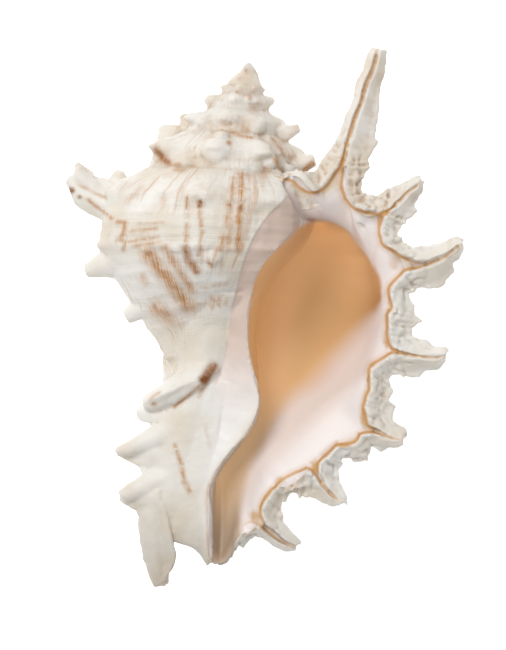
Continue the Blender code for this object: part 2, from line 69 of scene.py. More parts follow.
@dataclass(frozen=True)
class AxisFrame:
    """The shell's own frame, laid along its coiling axis."""

    apex_x: float = -4.8
    apex_y: float = 84.2
    lean: float = 10.0
    axis_height: float = 47.0

    def place(self, along: Row, out: Row, height: Row) -> Row:
        """Turn places in the axis frame into points.

        Args:
            along: Millimetres down the axis from the apex.
            out: Millimetres from the axis towards the lip.
            height: Millimetres above the plane that holds the axis.

        Returns:
            Points in metres, one row each.
        """
        lean = math.radians(self.lean)
        x = self.apex_x - along * math.sin(lean) + out * math.cos(lean)
        y = self.apex_y - along * math.cos(lean) - out * math.sin(lean)
        return np.stack(np.broadcast_arrays(x, y, height + self.axis_height), axis=-1) * MM

    def measure(self, points: Row) -> tuple[Row, Row, Row]:
        """Turn points into places in the axis frame.

        Args:
            points: Points in metres, one row each.

        Returns:
            Along, out and height in millimetres.
        """
        lean = math.radians(self.lean)
        x = points[:, 0] / MM - self.apex_x
        y = points[:, 1] / MM - self.apex_y
        along = -x * math.sin(lean) - y * math.cos(lean)
        out = x * math.cos(lean) - y * math.sin(lean)
        return along, out, points[:, 2] / MM - self.axis_height


AXIS = AxisFrame()


def smooth_through(points: list, steps: int, closed: bool = False) -> Row:
    """Draw a smooth curve through points.

    Args:
        points: The points that the curve passes.
        steps: Steps between each pair of points.
        closed: Whether the curve comes back to its start.

    Returns:
        The curve's points, one row each.
    """
    points = np.array(points, dtype=float)
    count = len(points)
    result = []
    for i in range(count if closed else count - 1):
        if closed:
            a, b, c, d = (points[(i + k) % count] for k in (-1, 0, 1, 2))
        else:
            a, b, c, d = (points[min(max(i + k, 0), count - 1)] for k in (-1, 0, 1, 2))
        for step in range(steps):
            t = step / steps
            result.append(0.5 * (2 * b + (c - a) * t + (2 * a - 5 * b + 4 * c - d) * t**2
                                 + (3 * b - a - 3 * c + d) * t**3))
    if not closed:
        result.append(points[-1])
    return np.array(result)


def smoothstep(value: Row, low: float, high: float) -> Row:
    """Rise softly from 0 at low to 1 at high."""
    part = np.clip((value - low) / (high - low), 0.0, 1.0)
    return part * part * (3.0 - 2.0 * part)


def run_of(points: Row) -> Row:
    """Length of a line from its start to each of its points."""
    return np.concatenate([[0.0], np.cumsum(np.linalg.norm(np.diff(points, axis=0), axis=1))])


def along_line(points: Row) -> Row:
    """Share of a line's length at each of its points, from 0 to 1."""
    lengths = run_of(points)
    return lengths / lengths[-1]


def resample(points: Row, shares: Row) -> Row:
    """Points at given shares of a line's length."""
    own = along_line(points)
    return np.stack([np.interp(shares, own, points[:, k]) for k in range(points.shape[1])], axis=1)


def axis_places(line: Row) -> tuple[Row, Row]:
    """Places along and out from the axis of points given as x and y in millimetres."""
    line = np.asarray(line, dtype=float)[:, :2]
    return AXIS.measure(np.column_stack([line, np.zeros(len(line))]) * MM)[:2]


def distance_to_line(x: Row, y: Row, line: Row) -> tuple[Row, Row]:
    """Distance from points to a line, all seen from above.

    Args:
        x: Points to the right, in millimetres.
        y: Points towards the spire, in millimetres.
        line: The line's corners, one row each.

    Returns:
        The distances, and the place of the nearest point as a count of corners.
    """
    best = np.full(x.shape, 1e9)
    where = np.zeros(x.shape)
    for index, (a, b) in enumerate(zip(line[:-1, :2], line[1:, :2])):
        span = b - a
        share = ((x - a[0]) * span[0] + (y - a[1]) * span[1]) / (span @ span + 1e-12)
        share = np.clip(share, 0.0, 1.0)
        distance = np.hypot(x - a[0] - share * span[0], y - a[1] - share * span[1])
        near = distance < best
        best = np.where(near, distance, best)
        where = np.where(near, index + share, where)
    return best, where


def depth_in_outline(x: Row, y: Row, outline: Row) -> tuple[Row, Row]:
    """Distance inside a closed outline seen from above, negative outside.

    Args:
        x: Points to the right, in millimetres.
        y: Points towards the spire, in millimetres.
        outline: The outline's corners, one row each.

    Returns:
        The depths, and the place of the nearest point as a count of corners.
    """
    closed = np.vstack([outline, outline[:1]])
    distance, where = distance_to_line(x, y, closed)
    within = np.zeros(x.shape, dtype=bool)
    for a, b in zip(closed[:-1], closed[1:]):
        crosses = (a[1] > y) != (b[1] > y)
        edge = a[0] + (y - a[1]) * (b[0] - a[0]) / (b[1] - a[1] + 1e-12)
        within ^= crosses & (x < edge)
    return np.where(within, distance, -distance), where


def band_faces(ring_count: int, around: int, start: int = 0) -> list[tuple]:
    """Faces of the bands between rings of points.

    Args:
        ring_count: How many rings there are.
        around: Points in each ring.
        start: Number of the first ring's first point.

    Returns:
        Faces of four corners, ring by ring.
    """
    faces = []
    for ring in range(ring_count - 1):
        low = start + ring * around
        for k in range(around):
            after = (k + 1) % around
            faces.append((low + k, low + after, low + around + after, low + around + k))
    return faces


@dataclass
class FormStack:
    """Closed forms that overlap, gathered to be fused into one skin."""

    points: list = field(default_factory=list)
    faces: list = field(default_factory=list)

    def loft(self, rings: Row) -> None:
        """Add a closed form through rings of points.

        Args:
            rings: Points in metres, as ring, place in the ring and coordinate.
        """
        start = sum(len(block) for block in self.points)
        ring_count, around = rings.shape[:2]
        self.points.append(rings.reshape(-1, 3))
        self.faces += band_faces(ring_count, around, start)
        self.faces.append(tuple(start + k for k in reversed(range(around))))
        self.faces.append(tuple(start + (ring_count - 1) * around + k for k in range(around)))

    def sheet(self, left: Row, right: Row, across: int, bulge: float, depth: float) -> None:
        """Add a bulging slab between two lines of (x, y, height).

        Args:
            left: The slab's left border in millimetres, height above the axis plane.
            right: Its right border, with as many points.
            across: Points across the slab.
            bulge: How far its middle stands up.
            depth: Its thickness.
        """
        share = np.linspace(0.0, 1.0, across)[None, :, None]
        top = left[:, None] * (1 - share) + right[:, None] * share
        top[..., 2] += bulge * np.sin(math.pi * share[..., 0]) + AXIS.axis_height
        base = top[:, ::-1] - np.array((0.0, 0.0, depth))
        self.loft(np.concatenate([top, base], axis=1) * MM)

    def to_object(self, name: str) -> bpy.types.Object:
        """Make an object of the forms, with their faces pointing out.

        Args:
            name: The object's name.

        Returns:
            The object, linked to the scene.
        """
        data = bpy.data.meshes.new(name)
        data.from_pydata(np.vstack(self.points).tolist(), [], self.faces)
        mesh = bmesh.new()
        mesh.from_mesh(data)
        bmesh.ops.recalc_face_normals(mesh, faces=mesh.faces)
        mesh.to_mesh(data)
        mesh.free()
        item = bpy.data.objects.new(name, data)
        bpy.context.scene.collection.objects.link(item)
        return item


@dataclass(frozen=True)
class Coil:
    """The whorls: one profile carried back along a logarithmic spiral."""

    turn_along: float = 1.54
    turn_out: float = 1.50
    lip_angle: float = 15.0
    whorls: int = 7
    body_end: float = 147.0
    first_radius: float = 0.3
    curve_steps: int = 8
    profile: tuple = (
        (40.0, 0.0), (44.5, 20.0), (49.0, 29.5), (55.0, 36.5), (62.0, 42.3), (70.0, 45.2),
        (77.0, 46.0), (86.0, 44.0), (94.0, 39.5), (100.0, 35.0), (107.0, 28.0), (115.0, 20.0),
        (123.0, 13.0), (131.0, 9.0), (140.0, 5.0), (148.0, 0.0),
    )
    varix_angles: tuple = (-105.0, -195.0, -310.0, -425.0, -540.0, -650.0, -760.0, -870.0)
    varix_height: float = 4.0
    varix_half_angle: float = 9.0
    knobs: tuple = ((5.0, 11.0), (63.0, 8.0), (105.0, 9.0), (165.0, 10.0), (212.0, 7.0),
                    (260.0, 9.0), (312.0, 7.0))
    knob_half_angle: float = 11.0
    knob_half_along: float = 6.0
    knob_bluntness: float = 4.5
    knob_roundness: float = 2.4
    shoulder_along: float = 61.0
    low_row_along: float = 86.0
    low_row_height: float = 1.6
    low_row_half: float = 3.6
    last_whorl_knob: float = 3.0
    strong_cords: tuple = (63.0, 86.5, 112.0)
    strong_height: float = 0.8
    strong_half: float = 1.5
    weak_cords: tuple = (53.5, 58.0, 68.0, 72.0, 76.5, 81.0, 92.0, 97.0, 101.5, 106.0, 118.0, 124.0)
    weak_height: float = 0.4
    weak_half: float = 0.9
    thread_height: float = 0.12
    thread_gap: float = 1.9
    growth_ridges: tuple = ((0.17, 19.0, 1.3, 0.21), (0.10, 47.0, 0.8, 0.33))
    first_whorls: tuple = (
        (-0.9, 0.3), (-0.4, 1.0), (0.6, 1.8), (2.2, 2.9), (4.2, 4.3), (6.0, 5.4), (7.0, 5.9),
        (7.6, 5.4), (8.6, 6.2), (10.0, 6.6), (11.0, 5.8), (13.0, 4.0),
    )

    def scales(self, turned: Row) -> tuple[Row, Row]:
        """Scale of a section along and out, at an angle of growth in degrees."""
        return self.turn_along ** (turned / 360.0), self.turn_out ** (turned / 360.0)

    def outermost(self, angle: Row, along: Row) -> tuple[Row, Row, Row, Row]:
        """Find the whorl that shows at each place round the axis.

        Args:
            angle: Degrees round the axis, from -345 up to the lip.
            along: Millimetres along the axis.

        Returns:
            The plain radius, the angle of growth, the place along in the last whorl's
            scale, and the scale out from the axis.
        """
        line = smooth_through(self.profile, self.curve_steps)
        radius = np.full(angle.shape, self.first_radius)
        grown = np.array(angle, dtype=float)
        unit = np.zeros(angle.shape)
        for whorl in range(self.whorls):
            turned = angle - 360.0 * whorl
            scale_along, scale_out = self.scales(turned)
            unit_along = along / scale_along
            plain = np.interp(unit_along, line[:, 0], line[:, 1], left=0.0, right=0.0)
            found = scale_out * plain > radius
            radius = np.where(found, scale_out * plain, radius)
            grown = np.where(found, turned, grown)
            unit = np.where(found, unit_along, unit)
        return radius, grown, unit, self.scales(grown)[1]

    def relief(self, turned: Row, unit: Row) -> Row:
        """Height of varices, knobs and cords, in the last whorl's scale.

        Args:
            turned: Angle of growth in degrees.
            unit: Place along in the last whorl's scale.

        Returns:
            Millimetres at the last whorl's scale.
        """
        height = np.zeros(turned.shape)
        for angle in self.varix_angles:
            height += self.varix_height * np.exp(-(((turned - angle) / self.varix_half_angle) ** 2))
        for angle, knob in self.knobs:
            off = (turned - angle + 180.0) % 360.0 - 180.0
            across = np.exp(-(np.abs(off / self.knob_half_angle) ** self.knob_roundness))
            from_shoulder = np.abs((unit - self.shoulder_along) / self.knob_half_along)
            shoulder = np.exp(-(from_shoulder**self.knob_bluntness))
            low_row = np.exp(-(((unit - self.low_row_along) / self.low_row_half) ** 2))
            size = np.where(turned < self.lip_angle - 360.0, knob, min(knob, self.last_whorl_knob))
            height += across * (size * shoulder + self.low_row_height * low_row)
        for index, cord in enumerate(self.strong_cords):
            bead = 1.0 + 0.9 * np.cos(np.radians(turned * 17.0 + 70.0 * index)) ** 3
            height += self.strong_height * bead * np.exp(-(((unit - cord) / self.strong_half) ** 2))
        for index, cord in enumerate(self.weak_cords):
            uneven = 1.0 + 0.45 * np.sin(np.radians(turned * 11.0 + 130.0 * index))
            height += self.weak_height * uneven * np.exp(-(((unit - cord) / self.weak_half) ** 2))
        wander = 0.7 * np.sin(np.radians(turned * 5.0))
        height += self.thread_height * np.cos(unit * math.tau / self.thread_gap + wander)
        for rise, per_turn, sway, pace in self.growth_ridges:
            height += rise * np.sin(np.radians(turned * per_turn) + sway * np.sin(unit * pace))
        return height

    def build(self, stack: FormStack) -> None:
        """Add the coiled body to the forms.

        Args:
            stack: The forms that are fused into the skin.
        """
        angles = np.arange(self.lip_angle - 358.8, self.lip_angle + 0.1, 1.2)
        alongs = np.concatenate([np.linspace(0.6, 40.0, 110), np.linspace(40.5, self.body_end, 210)])
        angle_grid, along_grid = np.meshgrid(angles, alongs)
        line = smooth_through(self.profile, self.curve_steps)
        radius = np.full(angle_grid.shape, self.first_radius)
        for whorl in range(self.whorls):
            turned = angle_grid - 360.0 * whorl
            scale_along, scale_out = self.scales(turned)
            unit = along_grid / scale_along
            plain = np.interp(unit, line[:, 0], line[:, 1], left=0.0, right=0.0)
            radius = np.maximum(radius, scale_out * (plain + self.relief(turned, unit) * (plain > 10.0)))
        turn = np.radians(angle_grid)
        stack.loft(AXIS.place(along_grid, radius * np.cos(turn), radius * np.sin(turn)))
        tip = smooth_through(self.first_whorls, 4)
        turn, along = np.meshgrid(np.radians(np.arange(0.0, 360.0, 6.0)), tip[:, 0])
        radius = np.repeat(tip[:, 1:], turn.shape[1], axis=1) + 0.25 * np.sin(turn * 3.0 + along)
        stack.loft(AXIS.place(along, radius * np.cos(turn), radius * np.sin(turn)))

    def front_height(self, along: Row, out: Row) -> Row:
        """Find the height of the plain whorls' front.

        Args:
            along: Millimetres along the axis.
            out: Millimetres out from the axis.

        Returns:
            Millimetres above the axis plane.
        """
        height = np.full(np.shape(along), 20.0)
        for _ in range(8):
            angle = np.degrees(np.arctan2(height, out)) - 360.0
            radius = self.outermost(angle, along)[0]
            height = np.sqrt(np.maximum(radius**2 - out**2, 0.25))
        return height


COIL = Coil()


@dataclass(frozen=True)
class Mouth:
    """The mouth: lip edge, throat and the tube behind them, and the glaze beside it."""

    wall: float = 2.8
    join_angle: float = -70.0
    end_angle: float = -470.0
    tube_step: float = 7.0
    blend_steps: int = 18
    around_steps: int = 6
    drop_lip: float = 4.5
    drop_columella: float = 2.0
    cut_reach: float = 40.0
    cut_flare: float = 1.03
    edge_set_back: float = 1.5
    canal_start: float = 112.0
    canal_ease: float = 22.0
    canal_extra_wall: float = 2.4
    thinned: float = 0.6
    thin_end: tuple = (146.0, 162.0)
    edge_shares: tuple = (0.25, 0.5, 0.75)
    thicken_sections: int = 6
    backing: float = 4.0
    backing_rows: int = 9
    backing_least_radius: float = 12.0
    tube_outer: tuple = (
        (51.5, 31.5), (56.5, 35.0), (63.0, 39.3), (70.0, 42.2), (77.0, 43.0), (86.0, 41.0),
        (94.0, 36.5), (101.0, 30.5), (108.0, 23.5), (115.0, 16.5), (120.0, 12.0),
    )
    tube_inner: tuple = (
        (120.0, 12.0), (116.0, 8.5), (106.0, 7.8), (96.0, 8.0), (87.0, 10.0), (79.0, 14.5),
        (72.0, 20.5), (65.0, 26.5), (58.0, 30.8), (51.5, 31.5),
    )
    lip: tuple = (
        ((37.5, 17.8, 19.5), (47.5, 27.5)), ((34.5, 22.0, 18.5), (46.8, 31.5)),
        ((38.5, 28.5, 16.5), (46.8, 35.5)), ((34.5, 34.0, 14.5), (47.5, 39.5)),
        ((28.0, 37.8, 13.0), (49.0, 43.0)), ((37.0, 39.8, 13.0), (51.0, 46.0)),
        ((43.5, 46.5, 12.5), (54.3, 48.8)), ((42.5, 52.5, 12.5), (56.5, 51.0)),
        ((50.5, 54.5, 12.5), (60.0, 53.0)), ((58.0, 62.5, 12.5), (65.1, 55.1)),
        ((66.8, 59.5, 12.5), (71.0, 56.6)), ((76.5, 60.3, 12.5), (79.7, 57.3)),
        ((86.0, 63.0, 12.0), (87.0, 57.0)), ((95.0, 57.5, 11.5), (93.6, 55.0)),
        ((105.5, 56.3, 11.0), (101.0, 51.0)), ((114.0, 58.5, 10.5), (107.0, 46.5)),
        ((120.0, 51.0, 10.0), (113.0, 41.5)), ((128.4, 43.8, 9.5), (121.0, 35.5)),
        ((136.0, 38.0, 9.0), (127.0, 31.0)), ((138.0, 31.5, 9.0), (132.0, 28.0)),
        ((146.5, 28.8, 8.5), (138.0, 25.5)), ((152.0, 28.5, 8.0), (144.0, 23.5)),
        ((156.0, 23.4, 7.5), (151.0, 22.0)), ((161.5, 22.4, 6.5), (157.5, 20.8)),
    )
    canal_end: tuple = ((166.0, 19.6, 5.6), (162.5, 18.8))
    columella: tuple = (
        ((163.5, 15.4, 7.0), (158.5, 15.8)), ((151.8, 13.0, 8.5), (150.0, 14.2)),
        ((142.0, 11.4, 9.5), (141.0, 13.0)), ((134.5, 13.4, 10.0), (133.5, 15.0)),
        ((127.5, 17.5, 11.0), (126.8, 18.6)), ((120.1, 21.3, 12.0), (119.8, 21.8)),
        ((113.0, 23.0, 12.5), (113.0, 23.2)), ((106.0, 22.0, 12.5), (106.0, 22.2)),
        ((97.0, 18.0, 12.5), (97.0, 18.4)), ((88.5, 15.3, 13.5), (88.5, 15.8)),
        ((80.8, 13.9, 15.5), (80.8, 14.6)), ((72.2, 14.4, 19.0), (72.2, 15.3)),
        ((67.0, 15.6, 22.0), (67.2, 16.6)), ((62.0, 18.0, 24.0), (62.5, 19.0)),
        ((56.0, 22.0, 23.6), (56.5, 23.2)), ((50.5, 25.3, 20.8), (51.2, 26.4)),
        ((44.0, 22.5, 20.0), (48.8, 27.2)),
    )

    def contours(self) -> tuple[Row, Row, Row]:
        """Lip edge, throat and tube section as matching closed rows.

        Returns:
            Three rows of (angle in degrees, along, distance from the axis).
        """
        stations = self.lip + (self.canal_end,) + self.columella
        corner = len(self.lip)
        rim, throat = [], []
        for index, (edge, (along, out)) in enumerate(stations):
            drop = self.drop_lip if index <= corner else self.drop_columella
            rim.append(self.polar(*edge))
            throat.append(self.polar(along, out, edge[2] - drop))
        flat = np.array([place for _, place in stations])
        outer = resample(smooth_through(self.tube_outer, 6), along_line(flat[: corner + 1]))
        inner_shares = along_line(np.vstack([flat[corner:], flat[:1]]))
        inner = resample(smooth_through(self.tube_inner, 6), inner_shares[1:-1])
        tube = [(0.0, along, out) for along, out in np.vstack([outer, inner])]
        rim, throat, tube = (smooth_through(row, self.around_steps, closed=True)
                             for row in (rim, throat, tube))
        return rim, throat, tube

    def polar(self, along: float, out: float, height: float) -> tuple[float, float, float]:
        """A place as (angle in degrees, along, distance from the axis)."""
        return math.degrees(math.atan2(height, out)), along, math.hypot(out, height)

    def points(self, row: Row) -> Row:
        """Points in metres of a row of (angle, along, distance)."""
        turn = np.radians(row[:, 0])
        return AXIS.place(row[:, 1], row[:, 2] * np.cos(turn), row[:, 2] * np.sin(turn))

    def carried(self, tube: Row, angle: float) -> Row:
        """The plain tube's section carried back along the spiral to an angle."""
        scale_along, scale_out = COIL.scales(angle)
        return np.stack([np.full(len(tube), angle), tube[:, 1] * scale_along, tube[:, 2] * scale_out],
                        axis=1)

    def sections(self) -> list[Row]:
        """Lay sections from the lip edge back to the plain tube.

        Returns:
            Rows of (angle, along, distance), blended round the axis.
        """
        rim, throat, tube = self.contours()
        joined = self.carried(tube, self.join_angle)
        rows = [rim]
        for share in self.edge_shares:
            between = rim * (1 - share) + throat * share
            between[:, 0] = rim[:, 0] * (1 - share**2) + throat[:, 0] * share**2
            rows.append(between)
        rows.append(throat)
        for step in range(1, self.blend_steps + 1):
            part = step / self.blend_steps
            eased = part * (2.0 - part)
            row = throat * (1 - eased) + joined * eased
            row[:, 0] = throat[:, 0] * (1 - part) + self.join_angle * part
            rows.append(row)
        return rows

    def grown(self, row: Row, thickness: Row) -> Row:
        """A closed row moved outwards in the plane of along and distance.

        Args:
            row: Rows of (angle, along, distance).
            thickness: Millimetres to move each point.

        Returns:
            The moved row.
        """
        flat = row[:, 1:]
        ahead = np.roll(flat, -3, axis=0) - np.roll(flat, 3, axis=0)
        normal = np.stack([ahead[:, 1], -ahead[:, 0]], axis=1)
        normal /= np.linalg.norm(normal, axis=1)[:, None] + 1e-9
        area = np.sum(flat[:, 0] * np.roll(flat[:, 1], -1) - flat[:, 1] * np.roll(flat[:, 0], -1))
        moved = row.copy()
        moved[:, 1:] += normal * math.copysign(1.0, area) * np.reshape(thickness, (-1, 1))
        return moved

    def build_wall(self, stack: FormStack) -> None:
        """Add the horn that the mouth is cut from, one wall larger than the hollow.

        Args:
            stack: The forms that are fused into the skin.
        """
        rings = []
        for index, row in enumerate(self.sections()):
            in_canal = np.clip((row[:, 1] - self.canal_start) / self.canal_ease, 0.0, 1.0)
            behind = min(index / self.thicken_sections, 1.0)
            thickness = self.wall + self.canal_extra_wall * in_canal * behind
            thinner = 1.0 - self.thinned * smoothstep(row[:, 1], *self.thin_end)
            rings.append(self.grown(row, thickness * thinner))
        rings[0][:, 0] -= self.edge_set_back
        stack.loft(np.array([self.points(row) for row in rings]))
        backing = []
        for row in rings[: self.backing_rows]:
            moved = row.copy()
            moved[:, 0] -= np.degrees(self.backing / np.maximum(moved[:, 2], self.backing_least_radius))
            backing.append(self.points(moved))
        stack.loft(np.array(backing))

    def hollow(self) -> Row:
        """Lay the whole hollow out.

        Returns:
            Rings of points in metres, from the lip edge back along the spiral.
        """
        tube = self.contours()[2]
        rows = self.sections()
        for angle in np.arange(self.join_angle - self.tube_step, self.end_angle, -self.tube_step):
            rows.append(self.carried(tube, angle))
        return np.array([self.points(row) for row in rows])

    def cutter(self) -> bpy.types.Object:
        """Make the form that hollows the shell out, reaching in front of the mouth.

        Returns:
            The form, as an object in the scene.
        """
        rings = self.hollow()
        middle = rings[0].mean(axis=0)
        front = middle + (rings[0] - middle) * self.cut_flare + np.array((0, 0, self.cut_reach * MM))
        stack = FormStack()
        stack.loft(np.concatenate([front[None], rings]))
        return stack.to_object("hollow_cutter")


MOUTH = Mouth()


@dataclass(frozen=True)
class Fold:
    """A rolled fold of shell, laid between an edge and a brim that are seen from above."""

    edge: tuple
    brim: tuple
    drop: float
    rise: float = 1.5
    slit_depth: float = 1.7
    level: float = 0.0
    crest_width: float = 1.4
    inner_thickness: float = 3.0
    brim_thickness: float = 1.4
    flute_gap: float = 3.1
    flute: float = 1.05
    flap_flute: float = 0.25
    flute_wander: tuple = ((2.0, 0.47), (1.1, 1.13))
    crimp_gap: float = 2.3
    crimp: float = 0.65
    frill_reach: float = 0.85
    flange: float = 4.5
    steps: int = 6
    across: int = 15
    crowding: float = 1.2
    crest_part: float = 0.35
    fall: tuple = ((0.0, 0.0), (0.35, 0.45), (0.75, 0.95), (1.0, 1.0))
    rim_heights: tuple = ((0.0, 11.5), (28.0, 13.0), (76.0, 12.5), (105.0, 11.0), (128.0, 9.5),
                          (150.0, 8.0), (168.0, 6.0))
    notch_rise: float = 6.5
    notch_out: tuple = (17.8, 38.0)
    notch_along: tuple = (45.0, 55.0)
    slit_start: tuple = (1.0, 4.0)
    rim_steps: int = 4
    slit_part: float = 0.2
    lip_share: float = 0.6

    def lines(self) -> tuple[Row, Row]:
        """The smooth edge and brim, as matching rows of millimetres."""
        return smooth_through(self.edge, self.steps), smooth_through(self.brim, self.steps)

    def slit_share(self, line: Row) -> Row:
        """Find how far points of a line are out along a spine's slit.

        Args:
            line: The line's points seen from above, in millimetres.

        Returns:
            0 on the lip edge, 1 well out on a spine.
        """
        rim = np.array([AXIS.place(*edge)[:2] / MM for edge, _ in MOUTH.lip])
        distance, _ = distance_to_line(line[:, 0], line[:, 1], smooth_through(rim, self.rim_steps))
        return smoothstep(distance, *self.slit_start)

    def base_height(self, line: Row) -> Row:
        """Find the height of the lip edge along a line.

        Args:
            line: The line's points seen from above, in millimetres.

        Returns:
            Millimetres above the axis plane.
        """
        if self.level:
            return np.full(len(line), self.level)
        along, out = axis_places(line)
        notch = (1.0 - smoothstep(out, *self.notch_out)) * (1.0 - smoothstep(along, *self.notch_along))
        return np.interp(along, *np.array(self.rim_heights).T) + self.notch_rise * notch

    def slit_line(self) -> Row:
        """Find the part of the edge that runs down the slit of the fold's first spine.

        Returns:
            The part's points, one row each.
        """
        edge = self.lines()[0]
        inside = np.nonzero(self.slit_share(edge) < self.slit_part)[0]
        return edge[: max(int(inside[0]), 2)] if len(inside) else edge

    def lip_part(self) -> Row:
        """The part of the edge that borders the mouth, between the slits."""
        edge = self.lines()[0]
        return edge[self.slit_share(edge) < self.lip_share]

    def build(self, stack: FormStack) -> None:
        """Add the fold to the forms.

        Args:
            stack: The forms that are fused into the skin.
        """
        edge, brim = self.lines()
        slit = self.slit_share(edge)[:, None]
        width = np.linalg.norm(brim - edge, axis=1)[:, None] + 0.01
        middle = (edge + brim) / 2
        run = run_of(middle)[:, None]
        share = np.concatenate([[0.0], np.linspace(0.0, 1.0, self.across) ** self.crowding])[None, :]
        crest = np.minimum(self.crest_width, self.crest_part * width) / width
        to_crest = np.clip(share / crest, 0.0, 1.0)
        past = np.clip((share - crest) / (1.0 - crest), 0.0, 1.0)
        fall = np.array(self.fall)
        low = -self.slit_depth * slit
        lift = low + (self.rise - low) * np.sin(to_crest * math.pi / 2)
        lift = lift - self.drop * np.interp(past, fall[:, 0], fall[:, 1])
        phase = run * math.tau / self.flute_gap
        for swing, pace in self.flute_wander:
            phase = phase + swing * np.sin(run * pace)
        size = self.flap_flute * slit + self.flute * (1.0 - slit) * (0.75 + 0.3 * np.sin(run * 0.83 + 1.0))
        wave = 2.0 * np.abs(np.sin(phase / 2.0 + 0.4 * past)) ** 0.8 - 1.0
        lift = lift + size * past**0.7 * wave
        crimp = self.crimp * (1.0 - slit) * to_crest * (1.0 - 0.5 * past)
        beat = run * math.pi / self.crimp_gap + np.sin(run * 0.9)
        lift = lift + crimp * (2.0 * np.abs(np.sin(beat)) - 1.0)
        height = self.base_height(edge)[:, None] + lift
        outward = (brim - edge) / width
        reach = share * width + self.frill_reach * size * past**2 * wave
        reach[:, :1] = -self.flange * (1.0 - slit)
        x = edge[:, :1] + outward[:, :1] * reach
        y = edge[:, 1:] + outward[:, 1:] * reach
        thick = self.inner_thickness + (self.brim_thickness - self.inner_thickness) * share
        top = np.stack([x, y, height + AXIS.axis_height], axis=-1)
        base = np.stack([x, y, height + AXIS.axis_height - thick], axis=-1)
        stack.loft(np.concatenate([top, base[:, ::-1]], axis=1) * MM)


@dataclass(frozen=True)
class Pad:
    """The layer of glaze that the inner lip lays flush over the body."""

    outer: tuple
    inner: tuple
    inner_heights: tuple = (
        (42.0, 19.4), (47.5, 20.4), (50.5, 21.0), (56.0, 23.8), (62.0, 24.2), (67.0, 22.2),
        (72.2, 19.2), (80.8, 15.7), (88.5, 13.6), (97.0, 12.5), (113.0, 12.5), (120.0, 12.0),
        (127.5, 11.0), (134.5, 10.0), (142.0, 9.5), (152.0, 8.5), (166.0, 7.0),
    )
    on_body: int = 6
    low_levels: tuple = ((7, 14.2), (8, 10.8), (9, 9.6), (11, 8.8), (15, 8.2), (19, 7.4))
    sink: float = 0.5
    bulge: float = 0.3
    depth: float = 4.0
    steps: int = 5
    outline_steps: int = 3
    across: int = 9

    def outline(self) -> Row:
        """The pad's outline seen from above, in millimetres."""
        outer, inner = (smooth_through(line, self.outline_steps) for line in (self.outer, self.inner))
        return np.vstack([outer, inner[::-1]])

    def build(self, stack: FormStack) -> None:
        """Add the pad to the forms.

        Args:
            stack: The forms that are fused into the skin.
        """
        outer, inner = np.array(self.outer), np.array(self.inner)
        along, out = axis_places(outer)
        index = np.arange(len(outer))
        level = np.interp(index, *np.array(self.low_levels).T)
        outer_height = np.where(index > self.on_body, level, COIL.front_height(along, out)) - self.sink
        inner_height = np.interp(axis_places(inner)[0], *np.array(self.inner_heights).T)
        outer = smooth_through(np.column_stack([outer, outer_height]), self.steps)
        inner = smooth_through(np.column_stack([inner, inner_height]), self.steps)
        stack.sheet(outer, inner, self.across, self.bulge, self.depth)


@dataclass(frozen=True)
class Sheet:
    """A curved sheet between two lines of (x, y, height)."""

    left: tuple
    right: tuple
    bulge: float = 0.8
    depth: float = 5.0
    steps: int = 6
    across: int = 11

    def build(self, stack: FormStack) -> None:
        """Add the sheet to the forms.

        Args:
            stack: The forms that are fused into the skin.
        """
        left, right = (smooth_through(line, self.steps) for line in (self.left, self.right))
        stack.sheet(left, right, self.across, self.bulge, self.depth)


@dataclass(frozen=True)
class Ridge:
    """A blunt form through rings of four places: upper, crest, lower and back."""

    stations: tuple
    around_steps: int = 8
    along_steps: int = 6

    def build(self, stack: FormStack) -> None:
        """Add the ridge to the forms.

        Args:
            stack: The forms that are fused into the skin.
        """
        rings = [smooth_through(ring, self.around_steps, closed=True) for ring in self.stations]
        flat = smooth_through([ring.ravel() for ring in rings], self.along_steps)
        points = flat.reshape(len(flat), -1, 3) + np.array((0.0, 0.0, AXIS.axis_height))
        stack.loft(points * MM)


@dataclass(frozen=True)
class Node:
    """A blunt lump on the whorls: where it is seen from above, its reach and its rise."""

    x: float
    y: float
    reach_x: float
    reach_y: float
    rise: float
    around: int = 24
    rings: int = 9
    depth: float = 4.0
    pole: float = 0.15

    def build(self, stack: FormStack) -> None:
        """Add the lump to the forms.

        Args:
            stack: The forms that are fused into the skin.
        """
        height = float(COIL.front_height(*axis_places([(self.x, self.y)]))[0])
        turn = np.arange(self.around) * math.tau / self.around
        levels = np.linspace(-math.pi / 2 + self.pole, math.pi / 2 - self.pole, self.rings)
        wide, lift = np.cos(levels)[:, None], np.sin(levels)[:, None]
        x = self.x + self.reach_x * wide * np.cos(turn)
        y = self.y + self.reach_y * wide * np.sin(turn)
        tall = np.where(lift > 0, self.rise, self.depth)
        z = np.broadcast_to(height + AXIS.axis_height + lift * tall, x.shape)
        stack.loft(np.stack([x, y, z], axis=-1) * MM)


